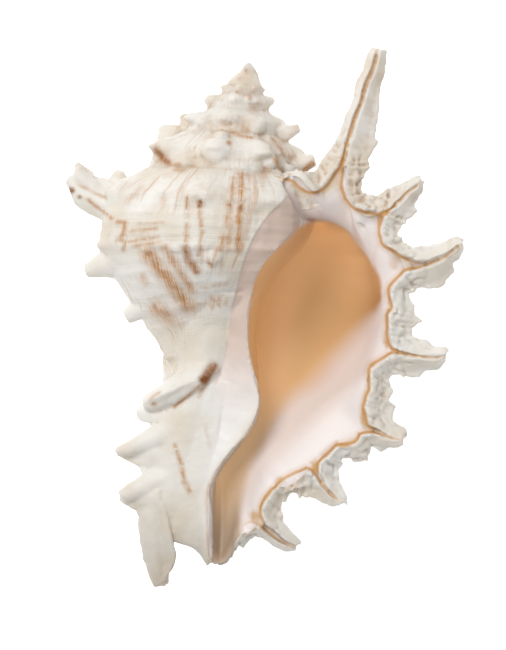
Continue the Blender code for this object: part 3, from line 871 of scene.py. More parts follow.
@dataclass(frozen=True)
class Spine:
    """A tapered form along a line of (along, out, height, half width, half thickness)."""

    line: tuple
    side: Side
    lumps: float = 0.04
    around: int = 28
    steps: int = 7
    upright: float = 0.3

    def stations(self) -> Row:
        """The smooth line through the spine's own points."""
        return smooth_through(self.line, self.steps)

    def frame_at(self) -> tuple[Row, Row, Row]:
        """Find the frame of each station.

        Returns:
            Middles in metres, and directions sideways and to the front.
        """
        stations = self.stations()
        middle = AXIS.place(stations[:, 0], stations[:, 1], stations[:, 2])
        ahead = np.gradient(middle, axis=0)
        ahead /= np.linalg.norm(ahead, axis=1)[:, None]
        side = np.cross(ahead, np.array((0.0, 0.0, 1.0)))
        steep = np.linalg.norm(side, axis=1) < self.upright
        side[steep] = np.cross(ahead[steep], np.array((0.0, 1.0, 0.0)))
        side /= np.linalg.norm(side, axis=1)[:, None]
        return middle, side, np.cross(side, ahead)

    def build(self, stack: FormStack) -> None:
        """Add the spine to the forms.

        Args:
            stack: The forms that are fused into the skin.
        """
        stations = self.stations()
        middle, side, face = self.frame_at()
        turn = np.arange(self.around) * math.tau / self.around
        index = np.arange(len(stations))
        swell = 1.0 + self.lumps * np.sin(1.7 * index) * np.sin(math.pi * index / len(stations))
        across = np.cos(turn)[None, :, None] * (stations[:, 3] * swell * MM)[:, None, None]
        through = np.sin(turn)[None, :, None] * (stations[:, 4] * MM)[:, None, None]
        stack.loft(middle[:, None] + side[:, None] * across + face[:, None] * through)


# Left shoulder horn from root to tip: x and y from the frame's origin, height above the axis plane
SHOULDER_HORN = Ridge((
    ((-37.8, 49.5, -4), (-37.8, 36, 15), (-44, 22.5, 2), (-39, 37, -19)),
    ((-45.1, 47.2, -2), (-47.1, 35.5, 12), (-50, 26, 2), (-47.1, 37.2, -15)),
    ((-51.8, 46.5, 0), (-53, 38, 9.5), (-53.4, 31.5, 3), (-52.8, 39.5, -9)),
    ((-57.1, 47.2, 2), (-58.5, 40.4, 8.5), (-58.8, 34.4, 4), (-57.8, 41.5, -5)),
    ((-61.8, 48, 3), (-62.4, 42.4, 8), (-62.1, 36.6, 4.5), (-62, 42.9, -2)),
    ((-65.2, 46.6, 4), (-65, 42.9, 6.8), (-63.6, 38.2, 5), (-64.4, 42.9, 0)),
))
CANAL_WEB = Sheet(
    left=((-26, -24, 8.5), (-29.5, -31, 8.6), (-31, -40, 8.2), (-33, -50, 7),
          (-34.5, -60, 6), (-34, -69, 5.6), (-29.4, -75, 5.4), (-24, -76.8, 5.4),
          (-21.2, -79.6, 5.4), (-19, -83.2, 5.2)),
    right=((-12, -22, 9.9), (-14, -30, 9.8), (-15.5, -40, 9.6), (-18, -50, 9.4),
           (-19, -60, 8.9), (-18.6, -69, 8.1), (-18.2, -75, 7.4), (-18, -78, 6.8),
           (-17.9, -80.6, 6.2), (-18.1, -83.4, 5.4)),
)
SIPHON_RIDGE = Ridge((
    ((-13.5, -16.5, 7), (-15, -18, 11), (-18, -21.5, 7), (-15, -18, 0)),
    ((-19, -18.3, 8), (-20.5, -20.5, 13), (-22.8, -24.5, 8), (-20.5, -21, 0)),
    ((-25, -20.3, 8), (-26.8, -22.8, 14), (-29, -27.3, 8), (-27, -24, 0)),
    ((-31, -22.8, 7), (-33, -25.5, 13.5), (-34, -30.2, 7), (-33, -27, 0)),
    ((-36.5, -25, 5), (-38, -27.5, 10.5), (-38.5, -30.8, 5.5), (-38, -28, 1)),
    ((-38.8, -26.3, 4.5), (-40.2, -28, 7.5), (-39.8, -29.6, 5), (-40, -28.2, 2.5)),
))
NODES = (
    Node(-16, 54.5, 4.8, 4.6, 3.6), Node(-14.2, 59.8, 3, 1.9, 4), Node(1, 51.4, 3.8, 2.8, 2.8),
    Node(-11.6, 65.6, 2.8, 2, 2.2), Node(-2.6, 63.4, 3.4, 3.2, 3.2), Node(-19.5, 64.9, 2.8, 2, 2),
    Node(-5, 72.2, 1.7, 1.6, 1.7), Node(-10, 73.4, 1.8, 1.4, 1.3), Node(0.6, 72.6, 1.8, 1.4, 1.4),
    Node(-28.3, 22.8, 2.9, 1.9, 1.4), Node(-16.7, 20, 3, 2.6, 1.5), Node(-38, 22.5, 2.4, 1.8, 1),
    Node(-7.5, 48.6, 3.6, 2.4, 1.8), Node(7.6, 48.8, 3.2, 2.2, 1.8), Node(-25.5, 51.2, 4, 2.8, 2.6),
)

# Spines from root to tip: along, out, height, half width and half thickness, in millimetres
LIP_SPINE_LINES = (
    ((44, 32, 8, 8.5, 6), (34, 35.5, 10, 7.8, 5.2), (22, 37.8, 11, 6.2, 4.4),
     (8, 39.6, 11.5, 4.6, 3.6), (-4, 40.6, 11.5, 3.6, 3), (-12.6, 41.5, 11.5, 3, 2.4)),
    ((55, 46.5, 6, 6.5, 5.5), (46.5, 50, 8.5, 5.6, 4.6), (39.5, 54.5, 10, 4.4, 3.6),
     (33.5, 59, 11.5, 3.2, 2.8), (28.3, 62.6, 12.5, 2, 1.8)),
    ((62, 53, 5, 7, 6), (57, 60, 8, 5.6, 4.8), (54, 67, 9.5, 4.8, 3.8),
     (50.5, 74, 11, 4.2, 3), (46.5, 80, 12.5, 2.4, 2)),
    ((84, 53, 5, 7, 6), (85.2, 60.5, 8, 5.8, 4.6), (86.6, 68, 9.5, 4.2, 3.6),
     (85.4, 75.5, 11, 3, 2.6), (83.4, 81.4, 12, 1.8, 1.8)),
    ((105, 49, 4, 7.5, 6), (109.5, 57, 7, 6.2, 4.6), (112, 65, 8.5, 4.4, 3.4),
     (113.5, 72.4, 9.5, 2.2, 2)),
    ((121, 38, 3, 7, 6), (127, 43, 6, 6.2, 4.6), (133.5, 50, 7.5, 4.6, 3.4),
     (138, 56.6, 8.5, 2.2, 2)),
    ((138, 25.5, 2, 6, 5), (144.5, 29, 5, 5.6, 4.2), (150.5, 35, 6, 4.2, 3.2),
     (155.4, 43.4, 6.5, 2.2, 2)),
)
FAR_LINES = (
    ((52, -42, 4, 4, 3.2), (47.5, -48, 5.5, 2.6, 2.4), (43.8, -50.4, 6, 1.5, 1.5)),
    ((66.5, -23, 6, 9, 8), (71, -30.5, 6.5, 6.6, 6), (75, -37, 6, 4.2, 4),
     (77.4, -41.6, 5, 2.3, 2.2)),
    ((82, -14, 4, 6, 6), (86, -20.5, 4.5, 4.2, 4), (90.2, -26, 4.5, 2.4, 2.4)),
    ((101, 6, 7.5, 3.2, 3.2), (105.5, 1.5, 9.5, 4.2, 3.6), (111, -5, 9, 4.4, 3.8),
     (115.6, -11, 7, 3.6, 3.2), (117.7, -14.2, 5.5, 2.4, 2.4)),
    ((117, -6, 2, 3.6, 3.4), (119.5, -12, 1.5, 2.8, 2.6), (120.9, -16, 1, 1.9, 1.9)),
    ((125, -2, 4.5, 6, 4.6), (129, -10, 5, 4.2, 3.4), (132.8, -16.5, 5.5, 2.8, 2.4),
     (135.1, -21.2, 6, 1.4, 1.4)),
    ((139, -1, 4, 6, 4.6), (143.5, -8.5, 4.5, 4, 3.2), (148.5, -15.5, 5, 2.8, 2.4),
     (149.8, -17, 5, 2.2, 2)),
    ((146, -3, 1.5, 7, 5.6), (156, -4.5, 2, 5.6, 4.8), (165, -2.6, 3, 4.4, 3.8),
     (172, -0.4, 4, 3.6, 3), (176.4, 1.4, 4.5, 2.6, 2.2)),
)
SPIRE_LINES = (
    ((36, -20, -4, 5, 2.4), (28.5, -22, -5, 4.2, 2), (24.2, -23.2, -6, 3.4, 1.6)),
    ((28, -14, -4, 4, 2.2), (22.5, -16.4, -5, 3.2, 1.8), (19.6, -17.4, -6, 2.8, 1.5)),
    ((31.5, 16.5, 3, 5.4, 5), (29.8, 22.5, 3.6, 3.6, 3.4), (27.6, 27, 4.5, 2, 2)),
    ((22, 12.5, 2.5, 4, 3.8), (19.6, 17.2, 3, 2.6, 2.6), (17.7, 20.2, 3.6, 1.4, 1.4)),
    ((12.6, 6.8, 1.5, 2.4, 2.4), (10.9, 8.8, 2, 1.6, 1.6), (9.7, 10.2, 2.4, 1, 1)),
    ((15.4, -8.4, 1.5, 2.8, 2.6), (14.2, -10.8, 2, 1.9, 1.8), (13.4, -12.4, 2.2, 1.2, 1.2)),
    ((23.4, -10.4, 2, 3.6, 3.4), (21.9, -13.4, 2.4, 2.4, 2.4), (20.7, -15.7, 2.6, 1.5, 1.5)),
    ((36.6, -19.4, 3, 5, 4.6), (34.6, -23.4, 3.6, 3.4, 3.2), (33.1, -26.2, 4, 1.9, 1.9)),
)
BACK_LINES = (
    ((61, -9, -33, 9, 9), (58.5, -11, -41, 6, 5.6), (56.5, -12.5, -47.6, 3.4, 3.4)),
    ((72, -10, -34, 6, 6), (74.5, -11.5, -41, 3.8, 3.6), (77, -12.5, -45.4, 1.9, 1.9)),
    ((85, -8, -27, 8, 8), (89, -9, -37, 5.2, 4.8), (94.5, -10, -47.6, 2.6, 2.6)),
    ((102, -5, -15, 7, 7), (108, -6.5, -25, 4.2, 4), (113, -7.5, -32.5, 2, 2)),
    ((116, -3, -9, 6, 6), (122.5, -4.5, -18, 3.8, 3.6), (127, -5.5, -24, 1.8, 1.8)),
    ((132, -1, -6, 5, 5), (137.5, -2, -13, 3.4, 3), (141.5, -3, -18.5, 1.7, 1.7)),
    ((59, 25, -31, 9, 8), (57.5, 28.5, -40, 5.6, 5), (56, 30.5, -47.6, 2.8, 2.8)),
    ((80, 25, -31, 10, 9), (81, 27.5, -40, 6.4, 6), (82, 29, -47.6, 3, 3)),
    ((98, 23, -23, 7, 6), (100.5, 25.5, -29.5, 4.2, 4), (102, 27, -34.5, 2.2, 2.2)),
    ((58, -28, -21, 7, 7), (56.5, -32.5, -26, 4, 4), (55.5, -35.5, -29.5, 2.2, 2.2)),
    ((76, -24, -17, 5.5, 5.5), (77.5, -28, -20.5, 3.2, 3.2), (78.5, -30.5, -23, 1.8, 1.8)),
)
SIPHON_LINE = (
    (77, 1.5, 1, 19, 19), (82, 1.8, 1, 15.6, 15.4), (87, 2, 1, 13.2, 12.8),
    (93, 2.5, 1, 11.8, 11.2), (103, 3, 0.5, 10.3, 10.1),
    (113, 1.5, 0, 11, 10.5), (125, 0.5, -0.5, 12.2, 10.5), (140, 0.5, -0.5, 11.8, 9),
    (151, 2, 0, 10.6, 7.5), (158, 3.5, 0.5, 8.6, 5.5), (161, 4, 0.5, 6, 4),
)


@dataclass
class Fringe:
    """Everything that grows out of the whorls and the lip."""

    core_width: float = 0.76
    slit_depth: float = 1.5
    horn_spikes: tuple = (
        ((47.0, -47.0, 3.0, 3.4, 3.0), (44.6, -49.3, 4.0, 2.2, 2.2), (42.3, -50.9, 5.0, 1.0, 1.0)),
        ((49.5, -49.0, 3.5, 3.2, 3.0), (48.6, -51.8, 4.5, 2.4, 2.2), (48.1, -53.2, 5.0, 1.4, 1.4)),
        ((46.5, -36.2, 0.0, 4.4, 4.0), (43.8, -36.6, 1.0, 2.4, 2.2), (42.8, -36.8, 1.5, 1.6, 1.6)),
    )
    lip_props: tuple = (
        ((108.0, 48.0, 4.5, 4.5, 4.0), (114.5, 52.0, 5.0, 5.5, 4.0), (119.0, 53.5, 4.5, 3.5, 3.0)),
        ((57.0, 51.0, 6.0, 4.5, 4.0), (56.5, 56.0, 6.5, 5.0, 4.0), (56.0, 60.0, 6.5, 3.5, 3.0)),
    )

    def cores(self) -> list[Spine]:
        """Lay the solid hearts of the lip spines, that carry the folds' slits.

        Returns:
            One spine for each line.
        """
        found = []
        for line in LIP_SPINE_LINES:
            rows = []
            for along, out, height, half, thick in line:
                place = AXIS.place(along, out, height)[None, :2] / MM
                bed = float(LIP_FOLDS[0].base_height(place)[0]) - self.slit_depth
                rows.append((along, out, bed - thick, half * self.core_width, thick))
            found.append(Spine(tuple(rows), Side.LIP))
        return found

    def spines(self) -> list[Spine]:
        """Gather all the spines that are not folds.

        Returns:
            The spines, side by side.
        """
        groups = (
            (Side.FAR, FAR_LINES + self.horn_spikes), (Side.LIP, self.lip_props),
            (Side.BACK, BACK_LINES), (Side.SPIRE, SPIRE_LINES),
        )
        return self.cores() + [Spine(line, side) for side, lines in groups for line in lines]

    def build(self, stack: FormStack) -> None:
        """Add every fold, ridge, spine and node to the forms.

        Args:
            stack: The forms that are fused into the skin.
        """
        sheets = (*LIP_FOLDS, CANAL_SKIRT, GLAZE_PAD, CANAL_WEB)
        spines = self.spines()
        for part in (*sheets, SHOULDER_HORN, SIPHON_RIDGE, *NODES, *spines):
            part.build(stack)
        for side in Side:
            LOG.info("spines on the %s: %d", side.value, sum(spine.side is side for spine in spines))


# Folds of the lip from the spire side to the canal, x and y seen from above, in millimetres
LIP_FOLDS = (
    Fold(
        drop=3.5,
        edge=(
            (7, 45.5), (10, 44.5), (12, 42.5), (15, 41), (18.5, 41.5), (21.5, 44),
            (24, 47.5), (26, 50.5), (27.5, 56.5), (29, 61.5), (30.5, 66.5), (32.5, 71.5),
            (34, 77), (36, 81.5), (37.5, 86.5), (38, 88.5),
        ),
        brim=(
            (7, 47), (9.5, 47.5), (13, 47.5), (16, 47.5), (18, 49), (19, 51),
            (20.5, 53), (22.5, 56), (24, 59), (26, 63), (27.5, 67), (29.5, 72),
            (31, 78), (33, 82), (34.5, 87), (35.5, 89),
        ),
    ),
    Fold(
        drop=3.0,
        edge=(
            (38, 88.5), (37.5, 86.5), (36, 81.5), (34, 77), (32.5, 71.5), (30.5, 66.5),
            (29, 61.5), (28, 58.5), (27, 55.5), (26.5, 52), (26, 49), (26, 45.5),
            (26, 41.5), (28, 38), (30, 36), (32.5, 35), (35.5, 34.5), (38, 34),
            (40.5, 34.5), (43, 36.5), (45.5, 39), (48, 41.5), (50.5, 43), (52, 45),
        ),
        brim=(
            (41, 89), (41, 85.5), (40, 80.5), (39, 76), (38.5, 70.5), (38, 65.5),
            (37, 60), (38, 58), (36, 54.5), (34.5, 52), (35, 49.5), (33, 46),
            (32.5, 42), (34, 41), (35.5, 40), (37, 40), (39, 40.5), (41, 42),
            (43, 43), (45, 44), (47.5, 45), (49.5, 46), (51, 47), (52.5, 47),
        ),
    ),
    Fold(
        drop=3.5,
        edge=(
            (52, 45), (50.5, 43), (48, 41.5), (45.5, 39), (43, 36.5), (41, 35),
            (39.5, 33), (38.5, 30), (38.5, 27), (39.5, 24), (41.5, 22.5), (43.5, 21.5),
            (45.5, 20), (48, 19), (50.5, 18), (54, 18), (57, 19), (60.5, 20),
            (63, 22), (66, 24),
        ),
        brim=(
            (53.5, 45.5), (53, 42), (52, 40), (50, 37), (51, 35), (48, 32.5),
            (46, 30), (44.5, 28), (44.5, 26.5), (46.5, 25), (48, 24), (49.5, 23),
            (51, 23), (53, 23.5), (55, 23), (57.5, 23.5), (60, 24.5), (62, 26),
            (64.5, 26.5), (66.6, 25.5),
        ),
    ),
    Fold(
        drop=5.0,
        edge=(
            (66, 24), (63, 22), (60.5, 20), (57.5, 18.5), (55, 17.5), (52, 16.5),
            (49.5, 16), (47, 15.5), (45.5, 14), (43.5, 12), (42, 10), (41.5, 7.5),
            (42, 5.5), (42.5, 3), (41, 1), (41, -1.5), (41, -4), (41, -7),
            (42, -9.5), (43.5, -11), (47, -12), (50.5, -13), (55, -13.5), (58, -13.5),
            (60, -13),
        ),
        brim=(
            (66.6, 22.5), (65, 19.5), (63, 17.5), (63.5, 15), (61, 12.5), (59.5, 10),
            (55.5, 9.5), (52, 10), (50, 9), (48, 7), (48.5, 5.5), (50, 4), (49.5, 2),
            (51.5, 0), (52.5, -1.5), (50, -3), (49, -5), (50.5, -7), (53.5, -8),
            (55.5, -9.5), (57, -10), (58, -10), (60, -10), (61, -10), (62, -11.5),
        ),
    ),
    Fold(
        drop=5.5,
        edge=(
            (60, -13), (58, -13.5), (55, -13.5), (51.5, -13), (48, -12.5), (45, -12),
            (42.5, -12), (40, -13.5), (38, -15), (36, -16), (35, -18), (35, -21),
            (35, -24), (34, -26), (33.5, -28.5), (33, -30.5), (34, -34), (35, -36.5),
            (38, -38), (41.5, -40), (45.5, -41),
        ),
        brim=(
            (61, -14.5), (60, -16), (57.5, -18), (54, -18), (52, -20), (48, -20),
            (45, -19), (43, -19), (42, -20.5), (42, -22.5), (43, -24.5), (42, -26.5),
            (41.5, -28), (44, -30), (43, -32), (42.5, -34), (44.5, -36), (46, -36.5),
            (47.5, -37.5), (48, -39), (47.5, -40.5),
        ),
    ),
    Fold(
        drop=5.5,
        edge=(
            (46, -41), (43, -40.5), (40, -39.5), (37, -38.5), (34, -38.5), (32, -39),
            (31, -41), (29, -42), (26.5, -42.5), (24.5, -42.5), (23, -44), (21, -46),
            (19, -47.5), (18, -49), (18, -51.5), (19.5, -54.5), (21.5, -57.5), (24, -60),
            (26.5, -62),
        ),
        brim=(
            (47, -42.5), (45, -43.5), (41.5, -44), (39, -45), (37, -43), (35.5, -44.5),
            (34.5, -47.5), (32.5, -48), (30, -48), (27, -46.5), (26.5, -48), (26.5, -49.5),
            (25, -51), (24.5, -53), (25.5, -55.5), (26.5, -57.5), (27.5, -59.5), (28, -61.5),
            (28, -63),
        ),
    ),
    Fold(
        drop=5.5,
        edge=(
            (26.5, -62), (24, -60.5), (21.5, -58), (19, -55), (17, -52), (15, -50.5),
            (13, -51), (10.5, -52), (8, -53.5), (6, -54.5), (4, -56.5), (2, -58.5),
            (0, -61), (-1, -63.5), (-1, -66.5), (1, -69.5), (4, -72), (7.5, -75),
            (11, -76.5),
        ),
        brim=(
            (26, -63), (23.5, -63.5), (20.5, -62.5), (18, -61), (15.5, -60), (13.5, -60),
            (12, -60), (9.5, -58.5), (8, -59.5), (8, -61), (6, -61.5), (6, -63),
            (6, -65), (6, -66.5), (7, -69), (9, -71.5), (11, -73.5), (12.5, -75),
            (12.5, -76),
        ),
    ),
    Fold(
        drop=4.5,
        edge=(
            (11, -77), (8, -76), (5.5, -75), (3, -73), (0.5, -71), (-2, -69),
            (-4.5, -68.5), (-6.5, -69.5), (-7.5, -71.5), (-8.5, -73.5), (-9.5, -75.5),
            (-10.8, -77.5),
        ),
        brim=(
            (11, -78), (8, -78.5), (5, -77.5), (1.5, -75.5), (-1.5, -73.5), (-3, -73),
            (-4.5, -74), (-6, -76), (-7, -77), (-8.5, -76), (-11, -77.2),
            (-11.8, -79.8),
        ),
    ),
)

CANAL_SKIRT = Fold(
    drop=3.6,
    rise=0.0,
    slit_depth=0.0,
    level=7.6,
    flute=0.3,
    crimp=0.0,
    flange=0.0,
    edge=(
        (-29, -26.5), (-30, -29), (-31, -31), (-32, -33), (-32, -35), (-31, -36.5),
        (-30, -38.5), (-31, -41), (-33, -43), (-34.5, -44.5), (-34.5, -46), (-33, -48),
        (-32, -50), (-31, -52.5), (-32, -55), (-33, -57), (-34.5, -59), (-34, -61),
        (-33, -63.5), (-32, -66), (-31, -71), (-30, -76), (-29, -80), (-30, -84),
        (-32, -86.5), (-32.5, -88),
    ),
    brim=(
        (-39, -28), (-37.5, -30.5), (-41.5, -31), (-42, -33), (-40.5, -35), (-37, -36),
        (-37, -39), (-39, -41.5), (-43, -43.5), (-49, -44), (-49, -46), (-45.5, -48),
        (-42, -50), (-40.5, -52.5), (-41, -55), (-44.5, -57), (-48, -60), (-47.5, -62),
        (-44, -64), (-42, -65.5), (-41.5, -70), (-41, -75), (-40, -81.5), (-38, -85.5),
        (-36, -89), (-33, -90),
    ),
)

GLAZE_PAD = Pad(
    outer=(
        (8, 40), (5.5, 37), (1.5, 33), (-2, 28), (-4.5, 23), (-7, 16), (-9, 8),
        (-11, -0.5), (-12, -8), (-13, -14.5), (-15.5, -20.5), (-17, -26), (-17, -33),
        (-18.5, -39.5), (-20, -46), (-22, -53), (-23.5, -59.5), (-22.5, -66), (-21, -74.5),
        (-19, -81),
    ),
    inner=(
        (12, 37), (12, 30.5), (9, 26.5), (5.5, 23.5), (1.5, 19.5), (-2, 14), (-4, 7),
        (-5, -1), (-5, -9.5), (-4, -17), (-2, -24), (-1, -28.5), (-2.5, -34.5),
        (-5.5, -39.5), (-11, -45), (-15.5, -52), (-18, -58.5), (-17, -66), (-17, -74.5),
        (-17, -82),
    ),
)

# Where the mouth turns warm, its own tan and painted shade: x, y and how soft the border is
WARM_OUTLINE = (
    (12, 30, 1.7), (17, 31.5, 1), (22, 31.5, 0.5), (27, 29.5, 0.5), (32, 23.5, 0.5),
    (36, 18, 0.5), (39, 10.5, 0.5), (39, 4.5, 1), (35, -1, 3.6), (29.5, -7.5, 5.3),
    (23.5, -14, 6), (18, -21, 6), (11, -26, 5), (6.5, -31, 3.7), (3, -36, 2.7),
    (0, -43, 2.6), (-4, -49.5, 2.4), (-6, -56, 2.2), (-7.6, -63, 2), (-7.6, -71, 1.4),
    (-8.6, -76, 0.8), (-10.5, -80, 0.6), (-17, -86, 0.3), (-17, -74.5, 0.3),
    (-17, -66, 0.3), (-18, -58.5, 0.3), (-15.5, -52, 0.3), (-11, -45, 0.3),
    (-5.5, -39.5, 0.3), (-2.5, -34.5, 0.3), (-1, -28.5, 0.3), (-2, -24, 0.3), (-4, -17, 0.3),
    (-5, -9.5, 0.3), (-5, -1, 0.3), (-4, 7, 0.4), (-2, 14, 0.5), (1.5, 19.5, 1),
    (5.5, 23.5, 1.7), (9, 26.5, 2),
)


@dataclass(frozen=True)
class Stain:
    """A small spot of colour on the side that faces up."""

    x: float
    y: float
    reach_x: float
    reach_y: float
    strength: float


@dataclass(frozen=True)
class Streak:
    """A line of colour on the side that faces up; above a strength of 1 it is rust."""

    line: tuple
    half: float
    strength: float


# Orange spots where the slits between the folds begin
CROTCHES = (
    Stain(26.0, 50.0, 0.8, 3.4, 0.9), Stain(39.4, 34.2, 1.2, 1.2, 0.9), Stain(43.6, 17.8, 1.9, 2.8, 0.9),
    Stain(41.0, -8.0, 1.3, 2.8, 0.9), Stain(33.4, -33.5, 1.1, 4.0, 1.0), Stain(17.2, -49.7, 1.2, 1.8, 1.0),
    Stain(-3.2, -66.5, 2.2, 1.8, 0.9), Stain(13.0, 41.5, 1.6, 1.0, 0.5), Stain(26.8, -42.8, 3.0, 1.0, 0.9),
    Stain(6.0, -55.0, 2.4, 1.4, 0.8),
)
STREAKS = (
    Streak(((-25.1, 38.9), (-25.1, 30.5), (-25.5, 21.5)), 0.4, 0.80),
    Streak(((-20.8, 36.9), (-20.5, 27.2), (-21.1, 18.2)), 0.3, 0.90),
    Streak(((-11.5, 37.2), (-12.1, 30.5), (-14.1, 21.9)), 0.5, 0.70),
    Streak(((-7.5, 46.9), (-7.5, 37.2), (-8.5, 22.2)), 0.8, 0.90),
    Streak(((-10.1, 45.5), (-10.5, 37.2), (-11.5, 22.2)), 0.6, 0.70),
    Streak(((-4.8, 46.2), (-4.5, 38.9), (-5.8, 25.5)), 0.5, 0.50),
    Streak(((-0.5, 48.2), (-0.1, 42.2)), 0.5, 0.40),
    Streak(((-2.8, 46.9), (-2.8, 33.9)), 0.4, 0.30),
    Streak(((-37.8, 20.2), (-32.8, 13.9), (-27.8, 7.2), (-25.1, 3.5)), 2.0, 0.95),
    Streak(((-32.5, 22.2), (-27.8, 15.5), (-23.8, 8.9)), 1.2, 0.80),
    Streak(((-25.5, 22.2), (-24.5, 18.2), (-22.1, 14.9)), 0.9, 1.25),
    Streak(((-17.8, 18.2), (-17.1, 16.2)), 0.5, 1.00),
    Streak(((-15.1, 22.2), (-16.5, 18.2)), 0.4, 0.60),
    Streak(((-45.1, 24.5), (-39.5, 25.5), (-34.5, 26.2)), 0.3, 0.60),
    Streak(((-44.5, 28.2), (-35.1, 28.9)), 0.3, 0.60),
    Streak(((-42.8, 23.2), (-33.8, 24.5)), 0.3, 0.60),
    Streak(((-41.1, 30.5), (-32.8, 30.9)), 0.2, 0.35),
    Streak(((-48.5, 31.5), (-45.5, 31.2), (-46.5, 27.2), (-48.1, 25.5), (-45.8, 24.5), (-46.5, 22.2)),
           0.4, 0.90),
    Streak(((-27.8, 10.5), (-19.5, 9.5), (-11.8, 10.9)), 0.4, 0.40),
    Streak(((-25.8, 4.5), (-19.1, 4.2), (-11.8, 5.5)), 0.3, 0.50),
    Streak(((-17.1, 6.5), (-16.8, 3.2)), 0.5, 0.60),
    Streak(((-14.8, 6.9), (-14.5, 3.5)), 0.4, 0.60),
    Streak(((-12.8, 7.2), (-12.5, 3.9)), 0.3, 0.50),
    Streak(((-35.8, 2.9), (-31.1, -0.5)), 2.2, 0.70),
    Streak(((-40.1, 13.2), (-39.1, 11.5)), 1.0, 0.60),
    Streak(((-62.1, 44.2), (-52.5, 39.5)), 0.3, 0.50),
    Streak(((-58.5, 38.9), (-54.5, 35.9), (-50.1, 32.5)), 0.3, 0.80),
    Streak(((-45.1, 38.2), (-40.5, 42.5)), 0.9, 0.40),
    Streak(((-10.5, 61.2), (-7.5, 59.9), (-3.8, 59.2)), 0.3, 0.90),
    Streak(((3.2, 59.2), (5.5, 56.2), (6.9, 53.2)), 0.3, 0.80),
    Streak(((4.2, 52.2), (5.5, 48.9)), 0.6, 0.80),
    Streak(((13.5, 48.9), (16.5, 51.2)), 0.6, 1.00),
    Streak(((-11.5, 57.5), (-11.3, 57.2)), 0.5, 1.10),
    Streak(((-35.5, 55.5), (-33.5, 52.5), (-31.8, 51.2)), 0.7, 1.30),
    Streak(((-31.8, 50.5), (-27.5, 50.2)), 0.3, 0.70),
    Streak(((-29.5, 48.5), (-26.5, 48.2)), 0.7, 0.35),
    Streak(((-29.5, -43.1), (-27.5, -48.5), (-26.5, -54.1), (-24.8, -58.1)), 0.4, 0.90),
    Streak(((-21.1, -22.8), (-25.1, -26.5), (-29.8, -30.1)), 0.3, 0.90),
    Streak(((-16.8, -16.8), (-18.5, -19.1), (-19.8, -21.1)), 1.0, 1.90),
    Streak(((-18.1, -20.5), (-20.1, -23.8), (-21.5, -26.5)), 0.5, 0.70),
    Streak(((-19.5, -36.1), (-17.5, -44.5)), 0.3, 0.30),
    Streak(((-37.8, -27.5), (-34.5, -25.1)), 0.3, 0.60),
    Streak(((-36.5, -29.1), (-36.3, -29.5)), 0.4, 1.10),
    Streak(((-5.8, 82.2), (-5.7, 82.0)), 0.3, 0.90),
    Streak(((-4.8, 73.2), (-4.6, 72.7)), 0.5, 0.90),
    Streak(((-64.1, 42.5), (-63.8, 41.9)), 0.5, 1.60),
    Streak(((-61.5, 39.9), (-61.1, 39.7)), 0.3, 1.20),
    Streak(((-57.8, 38.9), (-57.6, 38.7)), 0.3, 1.00),
    Streak(((-63.5, 37.5), (-63.1, 37.4)), 0.3, 1.00),
    Streak(((-20.8, 37.5), (-20.8, 36.2)), 0.5, 1.50),
    Streak(((-11.1, 37.5), (-11.1, 36.5)), 0.3, 1.20),
    Streak(((-7.5, 37.5), (-7.5, 35.5)), 0.5, 1.30),
    Streak(((-33.1, 38.5), (-32.5, 38.2)), 0.7, 0.35),
)


